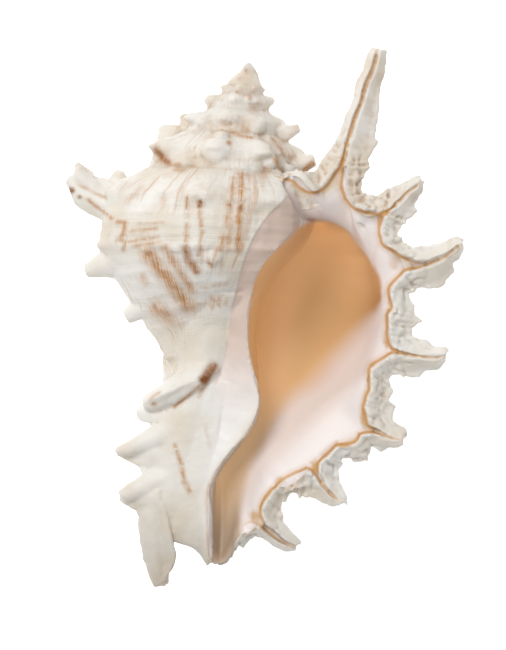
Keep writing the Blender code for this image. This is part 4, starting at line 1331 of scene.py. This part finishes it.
@dataclass
class ShellSkin:
    """The whole visible shell as one closed mesh."""

    voxel: float = 0.5
    triangles: int = 188000
    relax_rounds: int = 2
    coarse_lump: float = 0.42
    fine_lump: float = 0.13
    lip_lump: float = 1.5
    lip_lump_size: float = 3.4
    streak_blur: float = 0.26
    coarse_lump_size: float = 6.5
    fine_lump_size: float = 1.9
    billow_level: float = 0.2
    lump_band: tuple = (0.8, 3.0)
    frill_band: tuple = (5.0, 8.0)
    frill_height: tuple = (0.0, 3.0)
    frill_out: tuple = (27.0, 35.0)
    reach: float = 12.0
    beyond: float = 99.0
    wall_band: tuple = (0.12, 0.3)
    body_band: tuple = (3.5, 6.5)
    front_band: tuple = (-6.0, 4.0)
    slit_band: tuple = (1.0, 1.6)
    edge_band: tuple = (3.0, 4.0)
    dip_band: tuple = (0.02, 0.22)
    dip_rounds: int = 3
    dip_spread: float = 0.6
    shade_middle: tuple = (7.0, 33.0)
    shade_reach: tuple = (15.0, 12.0)
    outline_steps: int = 3
    mouth: Mouth = MOUTH
    fringe: Fringe = field(default_factory=Fringe)

    def build(self) -> bpy.types.Object:
        """Lay out, fuse, hollow, roughen and thin the skin.

        Returns:
            The finished object, with its painted values.
        """
        stack = FormStack()
        COIL.build(stack)
        self.mouth.build_wall(stack)
        Spine(SIPHON_LINE, Side.FAR, lumps=0.0, around=48).build(stack)
        self.fringe.build(stack)
        skin = stack.to_object("spiny_shell")
        fuse = skin.modifiers.new("fuse", "REMESH")
        fuse.mode = "VOXEL"
        fuse.voxel_size = self.voxel * MM
        relax = skin.modifiers.new("relax", "SMOOTH")
        relax.factor = 0.5
        relax.iterations = self.relax_rounds
        cutter = self.mouth.cutter()
        hollow = skin.modifiers.new("hollow", "BOOLEAN")
        hollow.operation = "DIFFERENCE"
        hollow.solver = "MANIFOLD"
        hollow.object = cutter
        self.keep_modified(skin)
        bpy.data.objects.remove(cutter, do_unlink=True)
        LOG.info("fused and hollowed skin: %d faces", len(skin.data.polygons))
        self.roughen(skin)
        skin.data.calc_loop_triangles()
        thin = skin.modifiers.new("thin", "DECIMATE")
        thin.ratio = self.triangles / len(skin.data.loop_triangles)
        thin.use_collapse_triangulate = True
        self.keep_modified(skin)
        self.lay_on_ground(skin)
        skin.data.shade_smooth()
        self.paint(skin)
        return skin

    def keep_modified(self, item: bpy.types.Object) -> None:
        """Keep an object's evaluated mesh as its own mesh.

        Args:
            item: The object, with modifiers.
        """
        graph = bpy.context.evaluated_depsgraph_get()
        item.data = bpy.data.meshes.new_from_object(item.evaluated_get(graph))
        item.modifiers.clear()

    def read(self, mesh: bpy.types.Mesh, what: str = "co") -> Row:
        """Read a vector of each point of a mesh.

        Args:
            mesh: The mesh.
            what: The value's name, places at first.

        Returns:
            The vectors, one row each.
        """
        values = np.empty(len(mesh.vertices) * 3)
        mesh.vertices.foreach_get(what, values)
        return values.reshape(-1, 3)

    def hollow_reading(self, points: Row) -> tuple[Row, Row]:
        """Find how near each point is to the hollow and how deep in it.

        Args:
            points: Points in metres, one row each.

        Returns:
            Millimetres from the hollow's wall, and millimetres behind the lip edge.
        """
        rings = self.mouth.hollow()
        ring_count, around = rings.shape[:2]
        steps = np.linalg.norm(np.diff(rings, axis=0), axis=2) / MM
        depth = np.vstack([np.zeros(around), np.cumsum(steps, axis=0)])
        corners = [Vector(corner) for corner in rings.reshape(-1, 3)]
        tree = BVHTree.FromPolygons(corners, band_faces(ring_count, around))
        away = np.full(len(points), self.beyond)
        deep = np.zeros(len(points))
        for index, point in enumerate(points):
            found, _, face, distance = tree.find_nearest(Vector(point), self.reach * MM)
            if found is None:
                continue
            ring, k = divmod(face, around)
            after = (k + 1) % around
            near = (rings[ring, k] + rings[ring, after]) / 2
            far = (rings[ring + 1, k] + rings[ring + 1, after]) / 2
            span = far - near
            share = float(np.dot(np.array(found) - near, span) / np.dot(span, span))
            share = min(max(share, 0.0), 1.0)
            away[index] = distance / MM
            deep[index] = depth[ring, k] * (1 - share) + depth[ring + 1, k] * share
        return away, deep

    def roughen(self, skin: bpy.types.Object) -> None:
        """Give the outside the low lumps of grown shell.

        Args:
            skin: The fused and hollowed skin.
        """
        mesh = skin.data
        points = self.read(mesh)
        normals = self.read(mesh, "normal")
        away, _ = self.hollow_reading(points)
        weight = smoothstep(away, *self.lump_band)
        x, y, _ = (points / MM).T
        _, out, height = AXIS.measure(points)
        beside_lip, _ = self.line_offset(x, y, [fold.lip_part() for fold in LIP_FOLDS])
        frilled = 1.0 - smoothstep(np.abs(beside_lip), *self.frill_band)
        frilled *= smoothstep(height, *self.frill_height)
        frilled *= smoothstep(out, *self.frill_out)
        lumps = np.zeros(len(points))
        for index in np.nonzero(weight > 0.01)[0]:
            point = Vector(points[index]) / MM
            lumps[index] = (self.coarse_lump * noise.noise(point / self.coarse_lump_size)
                            + self.fine_lump * noise.noise(point / self.fine_lump_size))
            if frilled[index] > 0.0:
                billow = abs(noise.noise(point / self.lip_lump_size)) - self.billow_level
                lumps[index] += self.lip_lump * frilled[index] * billow
        points += normals * (lumps * weight * MM)[:, None]
        mesh.vertices.foreach_set("co", points.ravel())
        mesh.update()

    def lay_on_ground(self, skin: bpy.types.Object) -> None:
        """Flatten what would reach into the ground, as the worn carrying tips are.

        Args:
            skin: The thinned skin.
        """
        points = self.read(skin.data)
        points[:, 2] = np.maximum(points[:, 2], 0.0)
        skin.data.vertices.foreach_set("co", points.ravel())
        skin.data.update()

    def hollowness(self, mesh: bpy.types.Mesh, points: Row) -> Row:
        """How far each point lies in a dip of the surface, from 0 to 1.

        Args:
            mesh: The skin's mesh.
            points: Its points in metres.

        Returns:
            The dip at each point.
        """
        edges = np.empty(len(mesh.edges) * 2, dtype=np.int64)
        mesh.edges.foreach_get("vertices", edges)
        edges = edges.reshape(-1, 2)
        normals = self.read(mesh, "normal")
        lean = np.zeros(len(points))
        count = np.zeros(len(points))
        for here, there in ((0, 1), (1, 0)):
            way = points[edges[:, there]] - points[edges[:, here]]
            way /= np.linalg.norm(way, axis=1)[:, None] + 1e-12
            np.add.at(lean, edges[:, here], np.sum(way * normals[edges[:, here]], axis=1))
            np.add.at(count, edges[:, here], 1.0)
        dip = lean / np.maximum(count, 1.0)
        for _ in range(self.dip_rounds):
            spread = np.zeros(len(points))
            for here, there in ((0, 1), (1, 0)):
                np.add.at(spread, edges[:, here], dip[edges[:, there]])
            dip = (1.0 - self.dip_spread) * dip + self.dip_spread * spread / np.maximum(count, 1.0)
        return smoothstep(dip, *self.dip_band)

    def line_offset(self, x: Row, y: Row, lines: list[Row]) -> tuple[Row, Row]:
        """Distance to the nearest of several lines, negative on their right.

        Args:
            x: Points to the right, in millimetres.
            y: Points towards the spire, in millimetres.
            lines: The lines, as rows of corners.

        Returns:
            The offsets, and the share of the nearest line's length at the nearest point.
        """
        best = np.full(x.shape, self.beyond)
        share = np.zeros(x.shape)
        for line in lines:
            distance, where = distance_to_line(x, y, line)
            index = np.minimum(where.astype(int), len(line) - 2)
            ahead = line[index + 1] - line[index]
            turn = ahead[:, 0] * (y - line[index, 1]) - ahead[:, 1] * (x - line[index, 0])
            near = distance < np.abs(best)
            best = np.where(near, np.where(turn < 0, -distance, distance), best)
            share = np.where(near, where / (len(line) - 1), share)
        return best, share

    def paint(self, skin: bpy.types.Object) -> None:
        """Store the values that the finish reads at each point.

        Args:
            skin: The finished skin.
        """
        mesh = skin.data
        points = self.read(mesh)
        along, out, height = AXIS.measure(points)
        angle = np.degrees(np.arctan2(height, out))
        angle = np.where(angle > COIL.lip_angle, angle - 360.0, angle)
        radius, turned, unit, scale = COIL.outermost(angle, along)
        away, deep = self.hollow_reading(points)
        inside = 1.0 - smoothstep(away, *self.wall_band)
        off_body = np.abs(np.hypot(out, height) - radius) / scale
        facing = smoothstep(height, *self.front_band)
        x, y = points[:, 0] / MM, points[:, 1] / MM
        slit_off, slit_run = self.line_offset(x, y, [fold.slit_line() for fold in LIP_FOLDS[1:]])
        edge_off, _ = self.line_offset(x, y, [fold.lip_part() for fold in LIP_FOLDS])
        # Painted shade: a soft patch over the top of the flange and the pad beside it.
        (middle_x, middle_y), (reach_x, reach_y) = self.shade_middle, self.shade_reach
        shade = np.exp(-(((x - middle_x) / reach_x) ** 2) - ((y - middle_y) / reach_y) ** 2)
        pad_depth, _ = depth_in_outline(x, y, GLAZE_PAD.outline())
        warm_line = smooth_through(WARM_OUTLINE, self.outline_steps, closed=True)
        warm_depth, corner = depth_in_outline(x, y, warm_line[:, :2])
        softness = np.interp(corner, np.arange(len(warm_line)), warm_line[:, 2])
        crotch = np.zeros(len(points))
        for spot in CROTCHES:
            off = ((x - spot.x) / spot.reach_x) ** 2 + ((y - spot.y) / spot.reach_y) ** 2
            crotch = np.maximum(crotch, spot.strength * np.exp(-off))
        streak = np.zeros(len(points))
        rust = np.zeros(len(points))
        for band in STREAKS:
            distance, _ = distance_to_line(x, y, np.array(band.line))
            shape = np.exp(-((distance / (band.half * 1.1 + self.streak_blur)) ** 2))
            streak = np.maximum(streak, min(band.strength, 1.0) * shape)
            rust = np.maximum(rust, max(band.strength - 1.0, 0.0) * 2.0 * shape)
        values = {
            "inside": inside,
            "deep": deep,
            "away": away,
            "on_body": 1.0 - smoothstep(off_body, *self.body_band),
            "growth": turned / 360.0,
            "down": unit / 100.0,
            "dip": self.hollowness(mesh, points),
            "slit_off": slit_off,
            "slit_run": slit_run,
            "edge_off": edge_off,
            "slit_near": 1.0 - smoothstep(np.abs(slit_off), *self.slit_band),
            "edge_near": 1.0 - smoothstep(np.abs(edge_off), *self.edge_band),
            "shade": shade,
            "crotch": crotch * facing,
            "pad": pad_depth,
            "warm": np.clip(0.5 + warm_depth / (2.0 * softness), 0.0, 1.0),
            "streak": streak * facing * (1.0 - inside),
            "rust": np.clip(rust, 0.0, 1.0) * facing * (1.0 - inside),
            "outward": out / 100.0,
            "along": along / 100.0,
            "raised": height / 100.0,
        }
        for name, value in values.items():
            layer = mesh.attributes.new(name, "FLOAT", "POINT")
            layer.data.foreach_set("value", value.astype(np.float32))


def linear(red: int, green: int, blue: int) -> tuple[float, float, float, float]:
    """A screen colour as linear light, with full alpha."""
    parts = [c / 255.0 for c in (red, green, blue)]
    return (*[p / 12.92 if p <= 0.04045 else ((p + 0.055) / 1.055) ** 2.4 for p in parts], 1.0)


class Sock:
    """A shader socket that adds Math nodes when it is used in an expression."""

    def __init__(self, desk: "Desk", socket: bpy.types.NodeSocket) -> None:
        """Hold a socket and the desk that makes its nodes."""
        self.desk = desk
        self.socket = socket

    def math(self, operation: str, first: object, second: object = 0.0) -> "Sock":
        """Add a Math node on two values or sockets."""
        return self.desk.node("ShaderNodeMath", {"operation": operation}, {0: first, 1: second})

    def __add__(self, other: object) -> "Sock":
        """Sum with a value or socket."""
        return self.math("ADD", self, other)

    __radd__ = __add__

    def __sub__(self, other: object) -> "Sock":
        """Difference from a value or socket."""
        return self.math("SUBTRACT", self, other)

    def __rsub__(self, other: object) -> "Sock":
        """A value less this socket."""
        return self.math("SUBTRACT", other, self)

    def __mul__(self, other: object) -> "Sock":
        """Product with a value or socket."""
        return self.math("MULTIPLY", self, other)

    __rmul__ = __mul__

    def __pow__(self, other: object) -> "Sock":
        """Power of a value."""
        return self.math("POWER", self, other)

    def atleast(self, other: object) -> "Sock":
        """The larger of this and another value."""
        return self.math("MAXIMUM", self, other)

    def size(self) -> "Sock":
        """This value without its sign."""
        return self.math("ABSOLUTE", self)

    def clamped(self) -> "Sock":
        """This value kept between 0 and 1."""
        return self.desk.node("ShaderNodeClamp", {}, {0: self})


class Desk:
    """Makes the nodes of one material."""

    def __init__(self, name: str) -> None:
        """Start a material with only its output and surface.

        Args:
            name: The material's name.
        """
        self.material = bpy.data.materials.new(name)
        self.material.use_nodes = True
        self.tree = self.material.node_tree
        self.surface = self.tree.nodes["Principled BSDF"]

    def node(self, kind: str, settings: dict, sockets: dict, output: int = 0) -> Sock:
        """Add a node.

        Args:
            kind: The node's type.
            settings: Its own settings, set before its sockets.
            sockets: Values or sockets by input name or number.
            output: Which output is wanted.

        Returns:
            The wanted output.
        """
        item = self.tree.nodes.new(kind)
        for name, value in settings.items():
            setattr(item, name, value)
        self.feed(item, sockets)
        return Sock(self, item.outputs[output])

    def feed(self, item: bpy.types.Node, sockets: dict) -> None:
        """Link sockets to a node's inputs, or set the inputs' values.

        Args:
            item: The node.
            sockets: Values or sockets by input name or number.
        """
        for key, value in sockets.items():
            if isinstance(value, Sock):
                self.tree.links.new(value.socket, item.inputs[key])
            else:
                item.inputs[key].default_value = value

    def value(self, name: str) -> Sock:
        """A value stored at each point of the mesh."""
        return self.node("ShaderNodeAttribute", {"attribute_name": name}, {}, output=2)

    def place(self) -> Sock:
        """The point's own place on the object, in metres."""
        return self.node("ShaderNodeTexCoord", {}, {}, output=3)

    def vector(self, x: object, y: object, z: object) -> Sock:
        """A vector of three values."""
        return self.node("ShaderNodeCombineXYZ", {}, {0: x, 1: y, 2: z})

    def step(self, value: Sock, low: float, high: float) -> Sock:
        """A soft rise from 0 at low to 1 at high."""
        settings = {"interpolation_type": "SMOOTHSTEP"}
        return self.node("ShaderNodeMapRange", settings, {0: value, 1: low, 2: high, 3: 0.0, 4: 1.0})

    def grain(self, where: Sock, scale: float, detail: float, rough: float = 0.5) -> Sock:
        """Noise between 0 and 1 over a vector."""
        sockets = {"Vector": where, "Scale": scale, "Detail": detail, "Roughness": rough}
        return self.node("ShaderNodeTexNoise", {}, sockets)

    def mix(self, factor: object, first: object, second: object, how: str = "MIX") -> Sock:
        """Mix two colours.

        Args:
            factor: Share of the second colour.
            first: A socket, or a screen colour of three numbers up to 255.
            second: The same for the other colour.
            how: The way they mix.

        Returns:
            The mixed colour.
        """
        first, second = (linear(*c) if isinstance(c, tuple) else c for c in (first, second))
        settings = {"data_type": "RGBA", "blend_type": how}
        return self.node("ShaderNodeMix", settings, {0: factor, 6: first, 7: second}, output=2)


@dataclass(frozen=True)
class ShellFinish:
    """Chalky, streaked outside and glossy, warm-coloured mouth, with painted shade and light.

    Colours are screen colours, but the glow is linear light. Covers are how much of a colour
    shows. Pairs are where a value rises: places along, outward and raised in units of 100 mm,
    depths and distances in millimetres. Weaves are noises along the growth lines: scale per
    turn, scale down the whorl, shift, detail and roughness. Grains are noises in space: scale,
    detail and roughness.
    """

    chalk: tuple = (233, 230, 223)
    cream: tuple = (224, 214, 199)
    streak: tuple = (184, 122, 42)
    rust: tuple = (130, 76, 26)
    dip_shade: tuple = (160, 136, 112)
    spire_grime_and_shade: tuple = (196, 166, 134)
    pearl: tuple = (240, 232, 229)
    lit_pearl: tuple = (251, 250, 249)
    blush: tuple = (238, 226, 220)
    near_tan: tuple = (226, 166, 110)
    tan: tuple = (228, 182, 136)
    deep_tan: tuple = (238, 202, 164)
    columella_painted_light: tuple = (246, 192, 130)
    lit_tan: tuple = (200, 198, 186)
    canal: tuple = (202, 178, 152)
    canal_end: tuple = (182, 160, 138)
    parietal: tuple = (218, 195, 182)
    shield: tuple = (238, 234, 231)
    mauve_shade: tuple = (190, 167, 154)
    glow: tuple = (0.20, 0.122, 0.050, 1.0)
    edge: tuple = (202, 150, 86)
    crotch: tuple = (202, 156, 94)
    low_end_shade: tuple = (214, 209, 203)
    outside_roughness: float = 0.55
    inside_roughness: float = 0.45
    dip_roughness: float = 0.1
    refraction: float = 1.5
    coat: float = 0.06
    coat_roughness: float = 0.25
    bump_strength: float = 0.5
    bump_distance: float = 0.0006
    smooth_glaze: float = 0.92
    pad_cover: float = 0.92
    pad_shade_cover: float = 0.8
    beside_cover: float = 0.4
    thread_cover: float = 0.6
    spire_grime_and_shade_cover: float = 0.8
    low_end_shade_cover: float = 0.9
    streak_cover: float = 0.95
    dip_shade_cover: float = 0.42
    shade_cover: float = 0.85
    columella_light_cover: float = 0.8
    lit_cover: float = 0.85
    blush_cover: float = 0.38
    crotch_cover: float = 0.75
    edge_cover: float = 0.85
    slit_cover: float = 0.9
    slit_fading: float = 0.7
    pad_fade: tuple = (0.86, 1.22)
    pad_softens: tuple = (1.0, 1.2)
    crisp_border: tuple = (-0.6, 0.5)
    soft_border: tuple = (0.0, 5.0)
    pad_raised: tuple = (0.02, 0.05)
    beside_wall: tuple = (0.3, 1.3)
    beside_along: tuple = (1.05, 1.25)
    spire_end: tuple = (0.40, 0.54)
    low_end_shade_band: tuple = (1.40, 1.72)
    dip_shade_clear_of_pad: tuple = (-2.6, -0.8)
    flange_band: tuple = (2.0, 14.0)
    lit_along: tuple = (0.85, 1.05)
    heart_band: tuple = (2.0, 24.0)
    deep_band: tuple = (22.0, 55.0)
    columella_band: tuple = (0.14, 0.28)
    facing_along: tuple = (0.45, 0.80)
    facing_out: tuple = (0.24, 0.36)
    canal_band: tuple = (1.00, 1.24)
    canal_end_band: tuple = (1.36, 1.60)
    always_warm: tuple = (60.0, 80.0)
    glow_deep: tuple = (6.0, 34.0)
    lip_raised: tuple = (0.0, 0.03)
    lip_end: tuple = (1.44, 1.56)
    edge_line: tuple = (0.15, 0.75)
    slit_line: tuple = (0.12, 0.62)
    edge_wobble: float = 0.7
    thread_weave: tuple = (110.0, 4.0, 0.0, 4.0, 0.62)
    patch_weave: tuple = (5.0, 6.0, 3.0, 2.0, 0.5)
    strand_weave: tuple = (420.0, 5.0, 9.0, 3.0, 0.6)
    growth_weave: tuple = (260.0, 9.0, 0.0, 3.0, 0.6)
    spiral_weave: tuple = (12.0, 120.0, 5.0, 3.0, 0.6)
    cloud_grain: tuple = (55.0, 3.0, 0.5)
    smudge_grain: tuple = (120.0, 5.0, 0.65)
    broken_grain: tuple = (300.0, 4.0, 0.6)
    wobble_grain: tuple = (240.0, 2.0, 0.5)
    pore_grain: tuple = (1100.0, 4.0, 0.6)
    lump_grain: tuple = (260.0, 3.0, 0.5)

    def dress(self, skin: bpy.types.Object) -> None:
        """Make the finish and give it to the skin.

        Args:
            skin: The painted skin.
        """
        desk = Desk("shell_chalk_and_glaze")
        inside = desk.value("inside")
        pad = self.pad(desk)
        along = desk.value("along")
        pad_colour = desk.mix(desk.step(along, *self.pad_fade), self.parietal, self.shield)
        # Painted shade: the pad turns mauve under the shade patch.
        pad_colour = desk.mix(desk.value("shade") * self.pad_shade_cover, pad_colour, self.mauve_shade)
        colour = desk.mix(pad * self.pad_cover, self.outside(desk), pad_colour)
        beside = 1.0 - desk.step(desk.value("away"), *self.beside_wall)
        beside = beside * desk.step(along, *self.beside_along)
        colour = desk.mix(beside * self.beside_cover, colour, self.edge)
        colour = desk.mix(inside, colour, self.hollow(desk))
        glazed = inside.atleast(pad)
        rough = self.outside_roughness * (1.0 - glazed) + self.inside_roughness * glazed
        desk.feed(desk.surface, {
            "Base Color": self.lip_line(desk, colour),
            "Roughness": rough + desk.value("dip") * self.dip_roughness,
            "IOR": self.refraction,
            "Coat Weight": glazed * self.coat,
            "Coat Roughness": self.coat_roughness,
            # Painted light: the depth of the mouth glows warm.
            "Emission Color": self.painted_glow_in_mouth(desk, inside),
            "Emission Strength": 1.0,
            "Normal": self.relief(desk, glazed),
        })
        skin.data.materials.clear()
        skin.data.materials.append(desk.material)

    def pad(self, desk: Desk) -> Sock:
        """Where the outside is glazed: beside the mouth on the inner lip.

        Args:
            desk: The desk of the shell's material.

        Returns:
            0 on the chalk, 1 on the glaze.
        """
        depth, low = desk.value("pad"), desk.step(desk.value("along"), *self.pad_softens)
        crisp, soft = desk.step(depth, *self.crisp_border), desk.step(depth, *self.soft_border)
        border = crisp * (1.0 - low) + soft * low
        return border * desk.step(desk.value("raised"), *self.pad_raised)

    def weave(self, desk: Desk, per_turn: float, down: float, shift: float, *kind: float) -> Sock:
        """Noise drawn out along the growth lines.

        Args:
            desk: The desk of the shell's material.
            per_turn: Its scale round the coil, for one turn.
            down: Its scale down the whorl.
            shift: What sets it apart from the other noises.
            kind: Its detail and roughness.

        Returns:
            A value between 0 and 1.
        """
        place = desk.vector(desk.value("growth") * per_turn, desk.value("down") * down, shift)
        return desk.grain(place, 1.0, *kind)

    def outside(self, desk: Desk) -> Sock:
        """Colour of the chalky outside, with painted shade in its dips, on the spire and at the low end.

        Args:
            desk: The desk of the shell's material.

        Returns:
            The colour.
        """
        threads = self.weave(desk, *self.thread_weave)
        patches = self.weave(desk, *self.patch_weave)
        strands = self.weave(desk, *self.strand_weave)
        cloud = desk.grain(desk.place(), *self.cloud_grain)
        smudge = desk.step(desk.grain(desk.place(), *self.smudge_grain), 0.46, 0.72)
        broken = desk.step(desk.grain(desk.place(), *self.broken_grain), 0.34, 0.6)
        along, dip = desk.value("along"), desk.value("dip")
        colour = desk.mix(desk.step(cloud, 0.40, 0.70), self.chalk, self.cream)
        fine = desk.step(threads, 0.50, 0.72) * desk.step(patches, 0.42, 0.62) * desk.value("on_body")
        colour = desk.mix(fine * self.thread_cover, colour, self.streak)
        spire = 1.0 - desk.step(along, *self.spire_end)
        # Partly grime and partly painted shade: the spire gets a smudged tint that is stronger in its
        # dips.
        grime_and_dip_shade = 0.12 + smudge * 0.5 + dip**0.5
        colour = desk.mix((grime_and_dip_shade * spire).clamped() * self.spire_grime_and_shade_cover, colour, self.spire_grime_and_shade)
        # Painted shade: the low end by the canal is darkened.
        low = desk.step(along, *self.low_end_shade_band)
        colour = desk.mix(low * self.low_end_shade_cover, colour, self.low_end_shade, "MULTIPLY")
        streak = desk.value("streak") * (0.4 + broken * 0.4 + desk.step(strands, 0.40, 0.62) * 0.5)
        colour = desk.mix(streak.clamped() * self.streak_cover, colour, self.streak)
        # Painted shade: the outside is darker in the dips of its surface, but not on the glazed pad.
        dip_shade_mask = dip * (1.0 - desk.step(desk.value("pad"), *self.dip_shade_clear_of_pad))
        colour = desk.mix(dip_shade_mask * self.dip_shade_cover, colour, self.dip_shade)
        return desk.mix(desk.value("rust") * (0.6 + broken * 0.4), colour, self.rust)

    def hollow(self, desk: Desk) -> Sock:
        """Colour of the mouth, from the pale flange to the warm depth, with painted shade and light.

        Args:
            desk: The desk of the shell's material.

        Returns:
            The colour.
        """
        deep, along, outward = desk.value("deep"), desk.value("along"), desk.value("outward")
        pale = desk.mix(desk.step(deep, *self.flange_band), self.pearl, self.blush)
        # Painted shade: the pale flange turns mauve under the shade patch.
        pale = desk.mix(desk.value("shade") * self.shade_cover, pale, self.mauve_shade)
        pale = desk.mix(desk.step(along, *self.lit_along), pale, self.lit_pearl, "MULTIPLY")
        heart = desk.mix(desk.step(deep, *self.heart_band), self.near_tan, self.tan)
        heart = desk.mix(desk.step(deep, *self.deep_band), heart, self.deep_tan)
        # Painted light: the tan is lightened on the columella side, whose wall lies in shade.
        columella = 1.0 - desk.step(outward, *self.columella_band)
        heart = desk.mix(columella * self.columella_light_cover, heart, self.columella_painted_light)
        # Painted shade: the tan is darkened where the mouth's wall faces the key light.
        facing_light = desk.step(along, *self.facing_along) * desk.step(outward, *self.facing_out)
        heart = desk.mix(facing_light * self.lit_cover, heart, self.lit_tan, "MULTIPLY")
        heart = desk.mix(desk.step(along, *self.canal_band), heart, self.canal)
        heart = desk.mix(desk.step(along, *self.canal_end_band), heart, self.canal_end)
        # The warm zone is partly the mouth's own tan and partly painted shade of its depth.
        zone = desk.step(desk.value("warm"), 0.05, 0.95).atleast(desk.step(deep, *self.always_warm))
        return desk.mix(zone, pale, heart)

    def painted_glow_in_mouth(self, desk: Desk, inside: Sock) -> Sock:
        """Painted light: a warm glow laid on the depth of the mouth, to lift its shade.

        Args:
            desk: The desk of the shell's material.
            inside: Where the surface is the hollow's wall.

        Returns:
            The emitted colour.
        """
        depth = desk.step(desk.value("deep"), *self.glow_deep) * desk.step(desk.value("warm"), 0.1, 0.9)
        sockets = {0: depth * inside, 6: (0.0, 0.0, 0.0, 1.0), 7: self.glow}
        return desk.node("ShaderNodeMix", {"data_type": "RGBA"}, sockets, output=2)

    def lip_line(self, desk: Desk, colour: Sock) -> Sock:
        """Lay the orange line of the lip edge and of the spines' slits over a colour.

        Args:
            desk: The desk of the shell's material.
            colour: The colour below.

        Returns:
            The colour with its lines.
        """
        raised = desk.step(desk.value("raised"), *self.lip_raised)
        wobble = desk.grain(desk.place(), *self.wobble_grain)
        edge_off = desk.value("edge_off") + (wobble - 0.5) * self.edge_wobble
        near = desk.value("edge_near")
        near_edge = near * (1.0 - desk.step(edge_off.size(), *self.edge_line))
        blush = near * desk.step(edge_off, -2.4, -0.2) * (1.0 - desk.step(edge_off, 0.1, 1.0))
        in_slit = 1.0 - desk.step(desk.value("slit_off").size(), *self.slit_line)
        in_slit = in_slit * desk.value("slit_near")
        fading = 1.0 - self.slit_fading * (1.0 - desk.value("slit_run")) ** 1.5
        crotch = desk.step(desk.value("crotch") * (0.6 + wobble * 0.8), 0.15, 0.8)
        above = 1.0 - desk.step(desk.value("along"), *self.lip_end)
        colour = desk.mix(blush * raised * above * self.blush_cover, colour, self.edge)
        colour = desk.mix(crotch * raised * self.crotch_cover, colour, self.crotch)
        line = (near_edge * self.edge_cover * above).atleast(in_slit * fading * self.slit_cover)
        return desk.mix((line * raised).clamped(), colour, self.edge)

    def relief(self, desk: Desk, glazed: Sock) -> Sock:
        """Fine threads and pores of the surface, as a bump.

        Args:
            desk: The desk of the shell's material.
            glazed: Where the surface is smooth.

        Returns:
            The bent normal.
        """
        growth_lines = self.weave(desk, *self.growth_weave)
        spiral = self.weave(desk, *self.spiral_weave)
        pores = desk.grain(desk.place(), *self.pore_grain)
        lumps = desk.grain(desk.place(), *self.lump_grain)
        height = (growth_lines * 0.8 + spiral * 0.9) * desk.value("on_body") + pores * 0.35 + lumps * 0.8
        height = height * (1.0 - self.smooth_glaze * glazed)
        sockets = {"Strength": self.bump_strength, "Distance": self.bump_distance, "Height": height}
        return desk.node("ShaderNodeBump", {}, sockets)


@dataclass(frozen=True)
class Studio:
    """Pale floor, soft light from the upper left, and a camera that looks straight down."""

    frame_height: float = 650.0 / 3.0
    middle_x: float = -3.46
    middle_y: float = -2.8
    plane_height: float = 55.0
    camera_height: float = 1500.0
    floor_size: float = 6.0
    floor_colour: tuple = (0.93, 0.93, 0.93, 1.0)
    floor_glow: float = 0.55
    sky_strength: float = 0.42
    lights: tuple = (("key", (-0.50, 0.58, 1.18), 0.6, 10.2), ("fill", (0.10, 0.00, 1.48), 0.9, 3.0))
    aim: tuple = (0.0, 0.0, 0.04)

    def build(self) -> bpy.types.Object:
        """Make floor, lights and camera.

        Returns:
            The floor.
        """
        floor = self.floor()
        self.sky()
        for light in self.lights:
            self.light(*light)
        self.camera()
        view = bpy.context.scene.view_settings
        view.view_transform = "Standard"
        view.look = "None"
        return floor

    def floor(self) -> bpy.types.Object:
        """Make the large pale plane that the shell lies on.

        Returns:
            The plane.
        """
        half = self.floor_size / 2
        corners = [(-half, -half, 0.0), (half, -half, 0.0), (half, half, 0.0), (-half, half, 0.0)]
        data = bpy.data.meshes.new("studio_floor")
        data.from_pydata(corners, [], [(0, 1, 2, 3)])
        item = bpy.data.objects.new("studio_floor", data)
        bpy.context.scene.collection.objects.link(item)
        desk = Desk("floor_paper")
        desk.feed(desk.surface, {
            "Base Color": self.floor_colour,
            "Roughness": 0.95,
            "Specular IOR Level": 0.1,
            "Emission Color": (1.0, 1.0, 1.0, 1.0),
            "Emission Strength": self.floor_glow,
        })
        data.materials.append(desk.material)
        return item

    def sky(self) -> None:
        """Even white light from all round."""
        world = bpy.data.worlds.new("studio_sky")
        bpy.context.scene.world = world
        world.use_nodes = True
        back = world.node_tree.nodes["Background"]
        back.inputs["Color"].default_value = (1.0, 1.0, 1.0, 1.0)
        back.inputs["Strength"].default_value = self.sky_strength

    def light(self, name: str, where: tuple, size: float, power: float) -> None:
        """A square soft light that faces the shell.

        Args:
            name: The light's name.
            where: Its place in metres.
            size: Its side in metres.
            power: Its power in watts.
        """
        data = bpy.data.lights.new(name, "AREA")
        data.size = size
        data.energy = power
        item = bpy.data.objects.new(name, data)
        item.location = where
        toward = Vector(self.aim) - Vector(where)
        item.rotation_euler = toward.to_track_quat("-Z", "Y").to_euler()
        bpy.context.scene.collection.objects.link(item)

    def camera(self) -> None:
        """A long lens straight above, with the spire at the top of the picture."""
        data = bpy.data.cameras.new("camera")
        data.sensor_width = 36.0
        data.lens = data.sensor_width * (self.camera_height - self.plane_height) / self.frame_height
        data.clip_end = 20.0
        item = bpy.data.objects.new("camera", data)
        item.location = (self.middle_x * MM, self.middle_y * MM, self.camera_height * MM)
        bpy.context.scene.collection.objects.link(item)
        bpy.context.scene.camera = item


def main() -> None:
    """Build the shell and its studio, and report each piece."""
    logging.basicConfig(level=logging.INFO, format="%(name)s: %(message)s")
    floor = Studio().build()
    LOG.info("studio: floor, lights and camera")
    skin = ShellSkin().build()
    ShellFinish().dress(skin)
    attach(skin, "root")
    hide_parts("shell")
    LOG.info("spiny_shell: %d triangles", len(skin.data.polygons))


if __name__ == "__main__":
    main()
